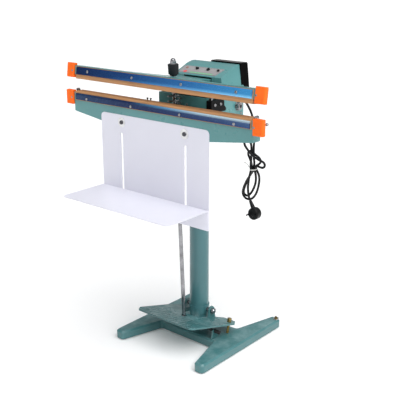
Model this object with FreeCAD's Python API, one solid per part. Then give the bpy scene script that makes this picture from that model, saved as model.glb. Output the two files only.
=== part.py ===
"""Foot-operated impulse heat sealer on a pedestal.

Every piece is one STEP file in parts/.  Lengths are millimetres.  While the pieces are made, X is the
operator's right, Y points to the rear and Z up, counted from the column's axis on the floor.  At the end
every piece moves back by FOOTPRINT_SHIFT, so that the origin is the centre of the floor area that the
machine covers.
The upper arm is modelled closed, with its jaw level on the lower one, and then opened about its hinge.
"""
import FreeCAD, Part
import math
import os

# ---- driving dimensions ----
SEAL_LENGTH = 650.0          # length of the clamp strips and of the seal
BEAM_HALF = 334.5            # half length of the jaw beams
CAP_END = 367.0              # outer face of the end caps
COLUMN_RADIUS = 30.0
COLUMN_TOP = 688.0
FOOT_HEIGHT = 4.0
BASE_TOP = 30.0
BASE_HALF_WIDTH = 180.0
BASE_HALF_DEPTH = 200.0
SHELF_FRONT = -354.0
FOOTPRINT_SHIFT = -(SHELF_FRONT + BASE_HALF_DEPTH) / 2

HINGE_Y = 66.0
HINGE_Z = 740.0
ARM_OPEN_ANGLE = 8.2         # degrees between the open and the closed arm

JAW_FRONT = -191.0           # front plane of the lower clamp strip
BEAM_FRONT = -187.5
BEAM_BACK = -158.0
LOWER_JAW_TOP = 771.7
UPPER_JAW_BOTTOM = 772.0     # with the arm closed
UPPER_STRIP_FRONT = -195.0
ARM_TOP = 811.0              # with the arm closed
ARM_PLATE = 4.0
STRIP_SCREW_SPACING = 184.0

BODY_HALF = 92.0             # head body, outside
BODY_FRONT = -74.0
BODY_BACK = 93.0
BODY_FLOOR = 700.0
SHEET = 2.5                  # sheet thickness of the head body

PEDAL_PIVOT_Z = 93.0
PEDAL_HINGE_HEIGHT = 69.4    # height of the pedal's top surface under the pivot
PEDAL_ANGLE = 13.87          # front edge raised at rest
PEDAL_PLATE = 5.0

ROD_RADIUS = 6.0
ROD_TOP = (-111.0, 839.3)    # Y and Z where the rod meets the open arm
ROD_FOOT = (-74.0, 85.2)     # Y and Z where the rod meets the pedal

SHELF_LEFT = -217.0
SHELF_RIGHT = 193.0
SHELF_TOP = 502.0
SHELF_SHEET = 2.0
SLOT_X = (-134.0, 110.0)
SHELF_BOLT_Z = 478.0

X_AXIS = FreeCAD.Vector(1, 0, 0)
Y_AXIS = FreeCAD.Vector(0, 1, 0)
Z_AXIS = FreeCAD.Vector(0, 0, 1)
ORIGIN = FreeCAD.Vector(0, 0, 0)
SIDES = (-1, 1)

# ---- dimensions of single parts ----
# base
FOOT_PLACES = [(sx * 160.0, sy * 184.0) for sx in SIDES for sy in SIDES]
EARTH_STUD = (169.0, 187.0)
LEG_INSIDE = 147.0           # X of the inner corners of the legs' ends

# column
FLANGE_BOLTS = [(sx * 31.8, sy * 31.8) for sx in SIDES for sy in SIDES]

# pedal
PEDAL_FRONT = -170.0         # along the plate
PEDAL_REAR = 41.0
PEDAL_ROD_SLOT = ROD_FOOT[0] / math.cos(math.radians(PEDAL_ANGLE))
EAR_X = 47.0                 # inner face of the pedal's ears
EAR_THICKNESS = 5.0
ADJUSTER = (109.0, 16.0)     # X, and distance along the plate
ADJUSTER_TIP = -35.4         # below the plate's top surface
STOP_BAR = (-42.0, 53.5)     # Y and Z of the pedal's down stop

# pull rod
ROD_LENGTH = math.hypot(ROD_TOP[0] - ROD_FOOT[0], ROD_TOP[1] - ROD_FOOT[1])
ROD_TILT = math.degrees(math.atan2(ROD_FOOT[0] - ROD_TOP[0], ROD_TOP[1] - ROD_FOOT[1]))
BALL_DROP = 13.5             # from the pedal plate's middle to the ball nut's centre
BALL_RADIUS = 10.0
KNOB_BASE = 1.0
KNOB_TOP = 33.0
ROD_END = 38.0

# lower head
BEAM_BOTTOM = [(BEAM_HALF, 711.0), (196.0, 692.5), (150.0, 686.0)]
SHELF_SCREW_X = (-132.0, 108.0)
SHELF_SCREW_Z = 701.5
BEAM_BOLT = (60.0, 712.0)
JAW_BAR_HALF = 312.0
TENSION_SCREW = (-167.0, 758.5)  # Y and Z
SPRING_Y = -109.5
SPRING_MEAN = 17.5
SPRING_WIRE = 2.0
SPRING_TURNS = 9

# head body
BODY_SIDE_FRONT = 780.0
BODY_SIDE_REAR = 798.0
HOOD_TOP = 858.5
HOOD_FRONT = -8.0
HOOD_BACK = 81.0
SLOPE_FOOT = 828.5           # height of the sloping front at its front edge
SLOPE_TOP = 854.0
SLOPE_REAR = 46.0
APRON_INSIDE = 53.0          # front walls of the hood stand either side of the arm
COVER_LEFT = -22.0
COVER_RIGHT = 88.0
GLAND = (55.0, 750.0)        # X and Z of the cord's exit through the rear wall
SHEET_SCREWS = [((side * BODY_HALF, 82.0, 717.0), (side, 0, 0)) for side in SIDES]
SHEET_SCREWS += [((side * 17.0, BODY_FRONT, 755.5), (0, -1, 0)) for side in SIDES]
SHEET_SCREWS += [((COVER_LEFT, 102.0, z), (-1, 0, 0)) for z in (790.0, 840.0)]
SLOPE_ANGLE = math.degrees(math.atan2(SLOPE_TOP - SLOPE_FOOT, SLOPE_REAR - HOOD_FRONT))
CONTROL_X = (-63.0, -24.0, 17.0, 54.0)
CONTROL_UP = 32.0            # distance of the controls from the hood's front edge, along its slope
POINTER_TURN = {CONTROL_X[1]: 80.0, CONTROL_X[2]: -20.0}

# micro switch
SWITCH_PIVOT = (-70.0, 777.5)
SWITCH_OUTER = BODY_HALF + 18.0
SWITCH_SCREWS_Y = (-62.0, -37.0)
SWITCH_SCREWS_Z = 762.0

# upper arm
CHANNEL_FRONT = UPPER_STRIP_FRONT + 3.6
CHANNEL_BACK = -162.0
ROD_HOLE_Y = -122.5
WEB = 5.0
ARM_BOLT_X = (-120.0, -40.0, 40.0, 120.0)

# end caps
CAP_SCREW_X = 340.0
CAP_DEPTH = 15.0
LOWER_CAP_FRONT = -193.5
UPPER_CAP_FRONT = -197.0

# mains cord
CORD_RADIUS = 3.5
HANK_Y = 130.0
CORD_ROUTE = [(GLAND[0], 108.0, GLAND[1]), (55.0, 127.0, 750.0), (55.5, 146.0, 741.5), (58.0, 160.5, 725.0),
              (67.0, 166.5, 704.0), (79.0, 163.0, 681.0), (93.0, 149.0, 656.0), (103.0, 137.0, 632.0),
              (105.0, 131.0, 612.0)]


# ---- small tools ----
def box(x_range, y_range, z_range):
    """Box between three pairs of coordinates."""
    low = FreeCAD.Vector(x_range[0], y_range[0], z_range[0])
    return Part.makeBox(x_range[1] - x_range[0], y_range[1] - y_range[0], z_range[1] - z_range[0], low)


def rod(start, end, radius):
    """Cylinder from one point to another."""
    start = FreeCAD.Vector(*start)
    direction = FreeCAD.Vector(*end) - start
    return Part.makeCylinder(radius, direction.Length, start, direction)


def ring(start, end, outer, inner):
    """Tube from one point to another."""
    return rod(start, end, outer).cut(rod(start, end, inner))


def cone(start, end, start_radius, end_radius):
    """Truncated cone from one point to another."""
    start = FreeCAD.Vector(*start)
    direction = FreeCAD.Vector(*end) - start
    return Part.makeCone(start_radius, end_radius, direction.Length, start, direction)


def rounded_wire(points, radii, closed=True):
    """Polyline whose corners are arcs of the given radii, where 0 leaves a corner sharp."""
    points = [FreeCAD.Vector(*point) for point in points]
    count = len(points)
    starts, ends, corners = [], [], []
    for index, point in enumerate(points):
        is_end = not closed and index in (0, count - 1)
        radius = 0 if is_end else radii[index]
        if radius == 0:
            starts.append(point)
            ends.append(point)
            corners.append(None)
            continue
        back = (points[index - 1] - point).normalize()
        ahead = (points[(index + 1) % count] - point).normalize()
        half_angle = back.getAngle(ahead) / 2
        tangent = radius / math.tan(half_angle)
        bisector = (back + ahead).normalize()
        middle = point + bisector * (radius / math.sin(half_angle) - radius)
        starts.append(point + back * tangent)
        ends.append(point + ahead * tangent)
        corners.append(middle)
    edges = []
    for index in range(count):
        if corners[index] is not None:
            edges.append(Part.Arc(starts[index], corners[index], ends[index]).toShape())
        following = (index + 1) % count
        if following == 0 and not closed:
            break
        if (starts[following] - ends[index]).Length > 1e-6:
            edges.append(Part.LineSegment(ends[index], starts[following]).toShape())
    return Part.Wire(edges)


def prism(points, thickness, radii=None):
    """Flat outline with rounded corners, given a thickness vector."""
    wire = rounded_wire(points, radii or [0] * len(points))
    return Part.Face(wire).extrude(FreeCAD.Vector(*thickness))


def profile_x(points, half_width, radii=None):
    """Outline of (y, z) points, extruded from -half_width to half_width along X."""
    outline = [(-half_width, y, z) for y, z in points]
    return prism(outline, (2 * half_width, 0, 0), radii)


def outline_z(points, low, high, radii=None):
    """Outline of (x, y) points, extruded from one height to another."""
    return prism([(x, y, low) for x, y in points], (0, 0, high - low), radii)


def outline_y(points, front, back, radii=None):
    """Outline of (x, z) points, extruded from one Y to another."""
    return prism([(x, front, z) for x, z in points], (0, back - front, 0), radii)


def mirrored(points):
    """Right-hand half of an outline, followed by its mirror image across X = 0."""
    return points + [(-x, y) for x, y in reversed(points)]


def fuse(shapes):
    """One solid from touching shapes."""
    result = shapes[0]
    for shape in shapes[1:]:
        result = result.fuse(shape)
    return result.removeSplitter()


def cut_all(shape, tools):
    """Shape with every tool taken away."""
    for tool in tools:
        shape = shape.cut(tool)
    return shape


def both_sides(shape):
    """A shape and its mirror image across X = 0."""
    return [shape, shape.mirror(ORIGIN, X_AXIS)]


def hexagon(centre, direction, flats, height):
    """Hexagonal prism that starts at a point and runs along a direction."""
    corner = flats / math.sqrt(3)
    angles = [math.radians(60 * step) for step in range(6)]
    points = [(corner * math.cos(angle), corner * math.sin(angle), 0) for angle in angles]
    solid = prism(points, (0, 0, height))
    turn = FreeCAD.Rotation(Z_AXIS, FreeCAD.Vector(*direction))
    solid.Placement = FreeCAD.Placement(FreeCAD.Vector(*centre), turn)
    return solid


def pan_screw(seat, outward, head_radius, head_height, shank_radius, shank_length):
    """Screw with a slotted domed head on a surface point, its shank pointing inwards."""
    head = Part.makeCylinder(head_radius, head_height)
    head = head.makeFillet(0.6 * head_height, edges_at(head, 2, head_height))
    slot = box((-head_radius, head_radius), (-0.4, 0.4), (0.6 * head_height, head_height))
    shank = rod((0, 0, -shank_length), (0, 0, 0), shank_radius)
    screw = fuse([head.cut(slot), shank])
    turn = FreeCAD.Rotation(Z_AXIS, FreeCAD.Vector(*outward))
    screw.Placement = FreeCAD.Placement(FreeCAD.Vector(*seat), turn)
    return screw


def edges_at(shape, axis, value):
    """Edges that lie wholly at one coordinate along an axis (0, 1 or 2)."""
    return [edge for edge in shape.Edges
            if all(abs(vertex.Point[axis] - value) < 1e-4 for vertex in edge.Vertexes)
            and abs(edge.CenterOfMass[axis] - value) < 1e-4]


# ---- base ----
def base_frame():
    """H-shaped plinth with four tapering legs, hollow underneath between its walls."""
    front = [(107.0, -61.0), (LEG_INSIDE, -BASE_HALF_DEPTH), (BASE_HALF_WIDTH, -BASE_HALF_DEPTH)]
    rear = [(BASE_HALF_WIDTH, BASE_HALF_DEPTH), (LEG_INSIDE, BASE_HALF_DEPTH), (110.0, 54.0)]
    outline = mirrored(front + rear)
    radii = [8, 12, 12, 12, 12, 8]
    solid = outline_z(outline, FOOT_HEIGHT, BASE_TOP, radii + radii)
    floor_face = Part.Face(rounded_wire([(x, y, FOOT_HEIGHT) for x, y in outline], radii + radii))
    hollow = floor_face.makeOffset2D(-9.0).extrude(FreeCAD.Vector(0, 0, 17.0))
    hollow = hollow.common(box((-200, 200), (-150, 150), (0, BASE_TOP)))
    solid = solid.makeChamfer(5.0, edges_at(solid, 2, BASE_TOP))
    solid = solid.cut(hollow)
    return solid.cut(rod((*EARTH_STUD, 14), (*EARTH_STUD, BASE_TOP + 1), 2.5))


def rubber_feet():
    """Feet under the four ends of the base."""
    return [cone((x, y, 0), (x, y, FOOT_HEIGHT), 10.5, 12.0) for x, y in FOOT_PLACES]


def earth_stud():
    """Earthing stud with its nut, and the tabbed washer under it."""
    stud = rod((*EARTH_STUD, 14), (*EARTH_STUD, 40), 2.5)
    nut = hexagon((*EARTH_STUD, 31.6), (0, 0, 1), 9.0, 4.5)
    washer = ring((*EARTH_STUD, BASE_TOP), (*EARTH_STUD, BASE_TOP + 1.6), 9.0, 2.6)
    x, y = EARTH_STUD
    tab = box((x - 4, x + 4), (y + 8, y + 13), (BASE_TOP, BASE_TOP + 1.6))
    return [fuse([stud, nut]), fuse([washer, tab])]


# ---- column ----
def column():
    """Tube with its welded foot ring and the collar that carries the pedal's pivot."""
    inner = COLUMN_RADIUS - 3
    tube = ring((0, 0, BASE_TOP), (0, 0, COLUMN_TOP), COLUMN_RADIUS, inner)
    foot_ring = cone((0, 0, BASE_TOP), (0, 0, BASE_TOP + 8), COLUMN_RADIUS + 8, COLUMN_RADIUS + 3)
    collar = ring((0, 0, 78), (0, 0, 104), COLUMN_RADIUS + 2.5, inner)
    foot_ring = foot_ring.cut(rod((0, 0, BASE_TOP), (0, 0, BASE_TOP + 8), inner))
    pivot_hole = rod((-40, 0, PEDAL_PIVOT_Z), (40, 0, PEDAL_PIVOT_Z), 6.05)
    return fuse([tube, foot_ring, collar]).cut(pivot_hole)


def pedal_pivot_bolt():
    """Pivot bolt with its domed head on the right, and the nut on its other end."""
    head_x = EAR_X + EAR_THICKNESS + 0.5
    shank = rod((-head_x - 8, 0, PEDAL_PIVOT_Z), (head_x, 0, PEDAL_PIVOT_Z), 6.0)
    head = hexagon((head_x, 0, PEDAL_PIVOT_Z), (1, 0, 0), 17.0, 8.0)
    dome = cone((head_x + 8, 0, PEDAL_PIVOT_Z), (head_x + 11, 0, PEDAL_PIVOT_Z), 8.0, 5.0)
    nut = hexagon((-head_x, 0, PEDAL_PIVOT_Z), (-1, 0, 0), 17.0, 6.0)
    nut = nut.cut(rod((-head_x - 9, 0, PEDAL_PIVOT_Z), (-head_x + 1, 0, PEDAL_PIVOT_Z), 6.0))
    return [fuse([shank, head, dome]), nut]


def column_flange():
    """Flange and sleeve at the top of the column, under the head."""
    disc = ring((0, 0, COLUMN_TOP), (0, 0, COLUMN_TOP + 6), 56.0, 20.0)
    sleeve = ring((0, 0, COLUMN_TOP - 26), (0, 0, COLUMN_TOP), COLUMN_RADIUS + 6, COLUMN_RADIUS)
    holes = [rod((x, y, COLUMN_TOP - 1), (x, y, COLUMN_TOP + 7), 4.1) for x, y in FLANGE_BOLTS]
    return cut_all(fuse([disc, sleeve]), holes)


def head_bolts():
    """Four bolts through the column flange and two that hold the beam to the gusset."""
    bolts = []
    for x, y in FLANGE_BOLTS:
        shank = rod((x, y, COLUMN_TOP - 6), (x, y, BODY_FLOOR + SHEET), 4.0)
        head = hexagon((x, y, BODY_FLOOR + SHEET), (0, 0, 1), 13.0, 5.5)
        nut = hexagon((x, y, COLUMN_TOP - 6), (0, 0, 1), 13.0, 6.0)
        bolts.append(fuse([shank, head, nut]))
    for side in SIDES:
        x = side * BEAM_BOLT[0]
        shank = rod((x, BEAM_BACK - 6, BEAM_BOLT[1]), (x, BEAM_BACK + 5, BEAM_BOLT[1]), 3.0)
        head = hexagon((x, BEAM_BACK + 5, BEAM_BOLT[1]), (0, 1, 0), 10.0, 4.0)
        nut = hexagon((x, BEAM_BACK - 3, BEAM_BOLT[1]), (0, -1, 0), 10.0, 4.0)
        bolts.append(fuse([shank, head, nut]))
    return bolts


# ---- pedal ----
def tilt_pedal(shape):
    """Move a shape from the flat pedal plate's frame to its place at rest."""
    shape = shape.copy()
    shape.rotate(ORIGIN, X_AXIS, -PEDAL_ANGLE)
    shape.translate(FreeCAD.Vector(0, 0, PEDAL_HINGE_HEIGHT))
    return shape


def pedal():
    """Tread plate, notched round the column and wider at the adjusting bolt, with its two pivot ears."""
    right = [(106.0, PEDAL_FRONT), (127.0, PEDAL_REAR - 19), (114.0, PEDAL_REAR), (68.0, PEDAL_REAR),
             (55.0, 20.0), (38.0, 20.0), (38.0, -49.0)]
    left = [(-38.0, -49.0), (-38.0, 20.0), (-55.0, 20.0), (-88.0, 24.0), (-107.0, -19.0), (-122.0, -148.0),
            (-108.0, PEDAL_FRONT)]
    plate = outline_z(right + left, -PEDAL_PLATE, 0, [20, 6, 6, 8, 4, 3, 9, 9, 3, 8, 8, 30, 8, 6])
    slot_front = PEDAL_ROD_SLOT - 12
    slot_rear = PEDAL_ROD_SLOT + 12
    slot_outline = [(-7.5, slot_front), (7.5, slot_front), (7.5, slot_rear), (-7.5, slot_rear)]
    rod_slot = outline_z(slot_outline, -PEDAL_PLATE - 1, 1, [7, 7, 7, 7])
    adjuster_hole = rod((*ADJUSTER, -PEDAL_PLATE - 1), (*ADJUSTER, 1), 4.0)
    plate = cut_all(plate, [rod_slot, adjuster_hole] + tread_grooves())
    ear_profile = [(-18, 66), (18, 58), (13, 98), (5, 107), (-5, 107), (-13, 98)]
    ear = prism([(EAR_X, y, z) for y, z in ear_profile], (EAR_THICKNESS, 0, 0), [0, 0, 4, 4, 4, 4])
    bore = rod((-60, 0, PEDAL_PIVOT_Z), (60, 0, PEDAL_PIVOT_Z), 6.05)
    ears = [part.cut(bore) for part in both_sides(ear)]
    return fuse([tilt_pedal(plate)] + ears)


def tread_grooves():
    """Crossed grooves that give the front of the pedal its grip."""
    width, depth, pitch = 1.6, 0.8, 15.0
    grooves = []
    for step in range(13):
        x = -100.0 + step * pitch
        if x < 92:
            grooves.append(box((x, x + width), (-160, -92), (-depth, 1)))
    for step in range(5):
        y = -157.0 + step * pitch
        grooves.append(box((-105, 86), (y, y + width), (-depth, 1)))
    return grooves


def pedal_adjusting_bolt():
    """Bolt whose tip rests on the base and so sets how far the jaws open, with its lock nut."""
    shank = rod((*ADJUSTER, ADJUSTER_TIP), (*ADJUSTER, 7.0), 4.0)
    head = hexagon((*ADJUSTER, 7.0), (0, 0, 1), 13.0, 5.5)
    nut = hexagon((*ADJUSTER, 0.0), (0, 0, 1), 13.0, 4.5).cut(rod((*ADJUSTER, -1), (*ADJUSTER, 6), 4.0))
    return [tilt_pedal(fuse([shank, head])), tilt_pedal(nut)]


def pedal_stop_brackets():
    """Two uprights on the base that carry the stop bar."""
    profile = [(-57, BASE_TOP), (-27, BASE_TOP), (-29, 40), (-34, 58.5), (-50, 58.5), (-55, 40)]
    right = prism([(94.0, y, z) for y, z in profile], (5.0, 0, 0), [0, 0, 3, 4, 4, 3])
    hole = rod((-130, *STOP_BAR), (130, *STOP_BAR), 4.0)
    return [part.cut(hole) for part in both_sides(right)]


def pedal_stop_bar():
    """Cross bar with a rubber-sleeved end on each side, which the pedal meets when it is fully down."""
    sleeves = both_sides(rod((99.0, *STOP_BAR), (117.0, *STOP_BAR), 5.8))
    return fuse([rod((-118, *STOP_BAR), (118, *STOP_BAR), 4.0)] + sleeves)


# ---- pull rod: made upright, with its origin where it meets the arm ----
def place_rod(shape):
    """Move a shape from the rod's frame to its tilted place at rest."""
    shape = shape.copy()
    shape.rotate(ORIGIN, X_AXIS, ROD_TILT)
    shape.translate(FreeCAD.Vector(0, *ROD_TOP))
    return shape


def pull_rod():
    """Rod that pulls the arm down when the pedal is pressed."""
    return place_rod(rod((0, 0, -ROD_LENGTH - BALL_DROP - BALL_RADIUS - 1), (0, 0, ROD_END), ROD_RADIUS))


def rod_nuts():
    """Ball nut under the pedal and domed cap nut on the knob."""
    centre = -ROD_LENGTH - BALL_DROP
    ball = Part.makeSphere(BALL_RADIUS, FreeCAD.Vector(0, 0, centre))
    ball = ball.cut(rod((0, 0, centre - 12), (0, 0, centre + 12), ROD_RADIUS))
    flats = hexagon((0, 0, KNOB_TOP + 0.3), (0, 0, 1), 16.0, 6.5)
    skirt = rod((0, 0, KNOB_TOP + 0.3), (0, 0, KNOB_TOP + 1.8), 9.5)
    dome = Part.makeSphere(7.6, FreeCAD.Vector(0, 0, KNOB_TOP + 8.5))
    dome = dome.cut(box((-10, 10), (-10, 10), (KNOB_TOP - 5, KNOB_TOP + 1)))
    hole = rod((0, 0, KNOB_TOP - 1), (0, 0, ROD_END), ROD_RADIUS)
    return [place_rod(ball), place_rod(fuse([flats, skirt, dome]).cut(hole))]


def knob_body():
    """Ribbed hand nut above the arm, which sets the closing pressure."""
    collar = rod((0, 0, KNOB_BASE), (0, 0, KNOB_BASE + 4), 11.0)
    body = cone((0, 0, KNOB_BASE + 4), (0, 0, KNOB_TOP), 14.6, 15.4)
    top_rim = [edge for edge in body.Edges if abs(edge.CenterOfMass.z - KNOB_TOP) < 1e-6 and edge.Closed]
    body = body.makeFillet(1.5, top_rim)
    ribs = []
    rib_count = 24
    for step in range(rib_count):
        angle = 2 * math.pi * step / rib_count
        x, y = 15.9 * math.cos(angle), 15.9 * math.sin(angle)
        ribs.append(rod((x, y, KNOB_BASE + 3), (x, y, KNOB_TOP + 1), 1.2))
    solid = cut_all(fuse([collar, body]), ribs)
    return place_rod(solid.cut(rod((0, 0, 0), (0, 0, 60), ROD_RADIUS + 0.06)))


# ---- lower head ----
def beam_bolt_hole(side):
    """Hole for one of the bolts that hold the beam to the gusset."""
    x, z = side * BEAM_BOLT[0], BEAM_BOLT[1]
    return rod((x, BEAM_BACK - 6, z), (x, BEAM_BACK + 8, z), 3.1)


def lower_beam():
    """Folded beam of the lower jaw, open below and deeper in its middle."""
    outer = [(BEAM_HALF, 768.0)] + BEAM_BOTTOM
    radii = [0, 0, 12, 12]
    solid = outline_y(mirrored(outer), BEAM_FRONT, BEAM_BACK, radii + radii[::-1])
    wall = 3.0
    inner = [(BEAM_HALF - wall, 765.0), (BEAM_HALF - wall, 680.0)]
    cavity = outline_y(mirrored(inner), BEAM_FRONT + wall, BEAM_BACK - wall)
    end_windows = both_sides(box((BEAM_HALF - 4, BEAM_HALF + 1), (-184.5, -179.0), (744.5, 765.0)))
    end_windows += [tension_hole(side) for side in SIDES]
    screw_holes = [rod((x, -190, SHELF_SCREW_Z), (x, -180, SHELF_SCREW_Z), 3.1) for x in SHELF_SCREW_X]
    bolt_holes = [beam_bolt_hole(side) for side in SIDES]
    return cut_all(solid, [cavity] + end_windows + screw_holes + bolt_holes)


def lower_jaw_bar():
    """Steel bar that the heating element lies on."""
    return box((-JAW_BAR_HALF, JAW_BAR_HALF), (-184.5, -161.0), (744.5, 765.0))


def lower_insulation():
    """Glass tape between the bar and the heating element."""
    return box((-SEAL_LENGTH / 2 - 3, SEAL_LENGTH / 2 + 3), (-183.0, -163.0), (768.0, 770.4))


def heating_element():
    """Flat resistance band along the top of the lower jaw."""
    half = SEAL_LENGTH / 2 + 3
    return box((-half, half), (-175.5, -170.5), (770.4, 770.7))


def lower_ptfe_cloth():
    """Folded sheet: under the front strip, over the heating element and down the rear of the jaw."""
    under = [(-188.3, 744.5), (-187.5, 744.5), (-187.5, 768.0), (-183.0, 768.0), (-183.0, 770.4),
             (-175.5, 770.4), (-175.5, 770.7), (-170.5, 770.7), (-170.5, 770.4), (-163.0, 770.4),
             (-163.0, 768.0), (-158.0, 768.0), (-158.0, 752.0), (-157.2, 752.0)]
    over = [(-157.2, 769.6), (-159.5, LOWER_JAW_TOP), (-185.6, LOWER_JAW_TOP), (-188.3, 768.8)]
    return profile_x(under + over, SEAL_LENGTH / 2 + 3.5)


def lower_clamp_strip():
    """Aluminium strip with its upper edge bent back over the jaw."""
    profile = [(JAW_FRONT, 746.5), (-188.3, 746.5), (-188.3, 761.5), (-188.3, 766.0), (-189.6, 766.0),
               (JAW_FRONT - 0.8, 760.5)]
    strip = profile_x(profile, SEAL_LENGTH / 2)
    holes = [rod((x, -196, 752.3), (x, -187.5, 752.3), 2.1) for x in strip_screw_places()]
    return cut_all(strip, holes)


def strip_screw_places():
    """X of the screws in a clamp strip."""
    return [STRIP_SCREW_SPACING * (step - 1.5) for step in range(4)]


def lower_jaw_screws():
    """Screws of the lower clamp strip and of the lower end caps."""
    strip_screws = [pan_screw((x, JAW_FRONT - 0.65, 752.3), (0, -1, 0), 4.0, 2.4, 1.95, 2.9)
                    for x in strip_screw_places()]
    cap_screws = [pan_screw((side * CAP_SCREW_X, LOWER_CAP_FRONT, 752.0), (0, -1, 0), 2.8, 1.8, 1.5, 5.5)
                  for side in SIDES]
    return strip_screws + cap_screws


def head_gusset():
    """Plate that carries the lower beam, with the body and the column flange on it."""
    right = [(150.0, BEAM_BACK), (128.0, -130.0), (BODY_HALF, -90.0), (BODY_HALF, BODY_BACK)]
    plate = outline_z(mirrored(right), 694.0, BODY_FLOOR, [4, 6, 6, 4, 4, 6, 6, 4])
    flange = box((-125, 125), (BEAM_BACK, BEAM_BACK + 5), (BODY_FLOOR, 728.0))
    slot = outline_z([(-8, -125), (8, -125), (8, -94), (-8, -94)], 690, 704, [7.5] * 4)
    column_hole = rod((0, 0, 690), (0, 0, 704), 20.0)
    flange_holes = [rod((x, y, 690), (x, y, 704), 4.1) for x, y in FLANGE_BOLTS]
    bolt_holes = [beam_bolt_hole(side) for side in SIDES]
    return cut_all(fuse([plate, flange]), [slot, column_hole] + flange_holes + bolt_holes)


def feed_terminals():
    """Small shelf behind the lower jaw, with the two posts that feed the heating element."""
    foot = box((-100, -74), (BEAM_BACK, BEAM_BACK + 2.5), (728, 748))
    shelf = box((-100, -74), (BEAM_BACK, -114), (748, 751))
    pieces = [fuse([foot, shelf])]
    for x in (-93.5, -80.5):
        stud = rod((x, -121, 751), (x, -121, 768.5), 2.0)
        nut = hexagon((x, -121, 751), (0, 0, 1), 7.0, 4.0)
        cap = rod((x, -121, 765.0), (x, -121, 768.5), 3.0)
        pieces.append(fuse([stud, nut, cap]))
    return pieces


def return_spring():
    """Open coil spring between the head gusset and the arm, round the pull rod."""
    low = BODY_FLOOR + SPRING_WIRE
    high = 831.0 - SPRING_WIRE
    helix = Part.makeHelix((high - low) / SPRING_TURNS, high - low, SPRING_MEAN)
    circle = Part.makeCircle(SPRING_WIRE, FreeCAD.Vector(SPRING_MEAN, 0, 0), FreeCAD.Vector(0, 1, 0))
    coil = Part.Wire(helix).makePipeShell([Part.Wire(circle)], True, True)
    coil.translate(FreeCAD.Vector(0, SPRING_Y, low))
    return coil


# ---- head body, hood and what they hold ----
def head_body():
    """Open-topped sheet box with its side walls higher at the rear."""
    side = [(BODY_FRONT, BODY_FLOOR), (BODY_BACK, BODY_FLOOR), (BODY_BACK, BODY_SIDE_REAR),
            (HOOD_FRONT, BODY_SIDE_REAR), (HOOD_FRONT - 16, BODY_SIDE_FRONT), (BODY_FRONT, BODY_SIDE_FRONT)]
    solid = profile_x(side, BODY_HALF)
    cavity = box((-BODY_HALF + SHEET, BODY_HALF - SHEET), (BODY_FRONT + SHEET, BODY_BACK - SHEET),
                 (BODY_FLOOR + SHEET, 820))
    axle_hole = rod((-100, HINGE_Y, HINGE_Z), (100, HINGE_Y, HINGE_Z), 8.0)
    floor_holes = [rod((x, y, BODY_FLOOR - 1), (x, y, BODY_FLOOR + 4), 4.1) for x, y in FLANGE_BOLTS]
    column_hole = rod((0, 0, BODY_FLOOR - 1), (0, 0, BODY_FLOOR + 4), 20.0)
    gland_hole = rod((GLAND[0], BODY_BACK - 5, GLAND[1]), (GLAND[0], BODY_BACK + 1, GLAND[1]), 6.5)
    return cut_all(solid, [cavity, axle_hole, column_hole, gland_hole] + floor_holes + sheet_screw_holes())


def sheet_screw_holes():
    """Holes for the pan-head screws of the body and the rear cover."""
    holes = []
    for seat, outward in SHEET_SCREWS:
        inside = [coordinate - 5 * step for coordinate, step in zip(seat, outward)]
        holes.append(rod(inside, seat, 1.5))
    return holes


def head_screws():
    """Pan-head screws of the body, the rear cover and the micro switch."""
    screws = [pan_screw(seat, outward, 3.3, 2.0, 1.5, 4.0) for seat, outward in SHEET_SCREWS]
    for y in SWITCH_SCREWS_Y:
        screws.append(pan_screw((SWITCH_OUTER, y, SWITCH_SCREWS_Z), (1, 0, 0), 4.2, 2.4, 1.9, 18.0))
    return screws


def hood():
    """Folded console: side walls drawn in towards the top, sloping front for the controls."""
    profile = [(HOOD_FRONT, 796.0), (HOOD_BACK, 796.0), (HOOD_BACK, HOOD_TOP), (66.0, HOOD_TOP),
               (SLOPE_REAR, SLOPE_TOP), (HOOD_FRONT, SLOPE_FOOT)]
    solid = profile_x(profile, BODY_HALF, [0, 0, 3, 10, 18, 0])
    solid = solid.cut(taper_wedge(BODY_HALF)).cut(taper_wedge(-BODY_HALF))
    inner_back = HOOD_BACK - SHEET
    inner_top = HOOD_TOP - SHEET
    inner_profile = [(HOOD_FRONT - 1, 790.0), (inner_back, 790.0), (inner_back, inner_top),
                     (66.0, inner_top), (SLOPE_REAR, SLOPE_TOP - SHEET),
                     (HOOD_FRONT - 1, SLOPE_FOOT - SHEET)]
    cavity = profile_x(inner_profile, BODY_HALF - SHEET, [0, 0, 2, 8, 15, 0])
    cavity = cavity.cut(taper_wedge(BODY_HALF, SHEET)).cut(taper_wedge(-BODY_HALF, SHEET))
    solid = solid.cut(cavity).cut(box((-100, 100), (-20, 100), (780, BODY_SIDE_REAR)))
    apron = box((APRON_INSIDE, BODY_HALF - 1), (HOOD_FRONT, HOOD_FRONT + SHEET), (799.0, SLOPE_FOOT - 0.5))
    aprons = both_sides(apron.cut(taper_wedge(BODY_HALF, 0.5)))
    shafts = [control_hole(x) for x in CONTROL_X]
    return cut_all(fuse([solid] + aprons), shafts)


def taper_wedge(half, inset=0.0):
    """What is cut from one side of the hood, so that it draws in by 8 mm towards the top."""
    side = math.copysign(1, half)
    foot = abs(half) - inset
    outline = [(foot, BODY_SIDE_REAR), (foot + 40, BODY_SIDE_REAR), (foot + 40, HOOD_TOP + 20),
               (foot - 8, HOOD_TOP + 20), (foot - 8, HOOD_TOP)]
    return prism([(side * x, -30, z) for x, z in outline], (0, 140, 0))


def on_slope(shape):
    """Move a shape from a flat frame to the hood's slope, with its origin at the front edge."""
    shape = shape.copy()
    shape.rotate(ORIGIN, X_AXIS, SLOPE_ANGLE)
    shape.translate(FreeCAD.Vector(0, HOOD_FRONT, SLOPE_FOOT))
    return shape


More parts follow.
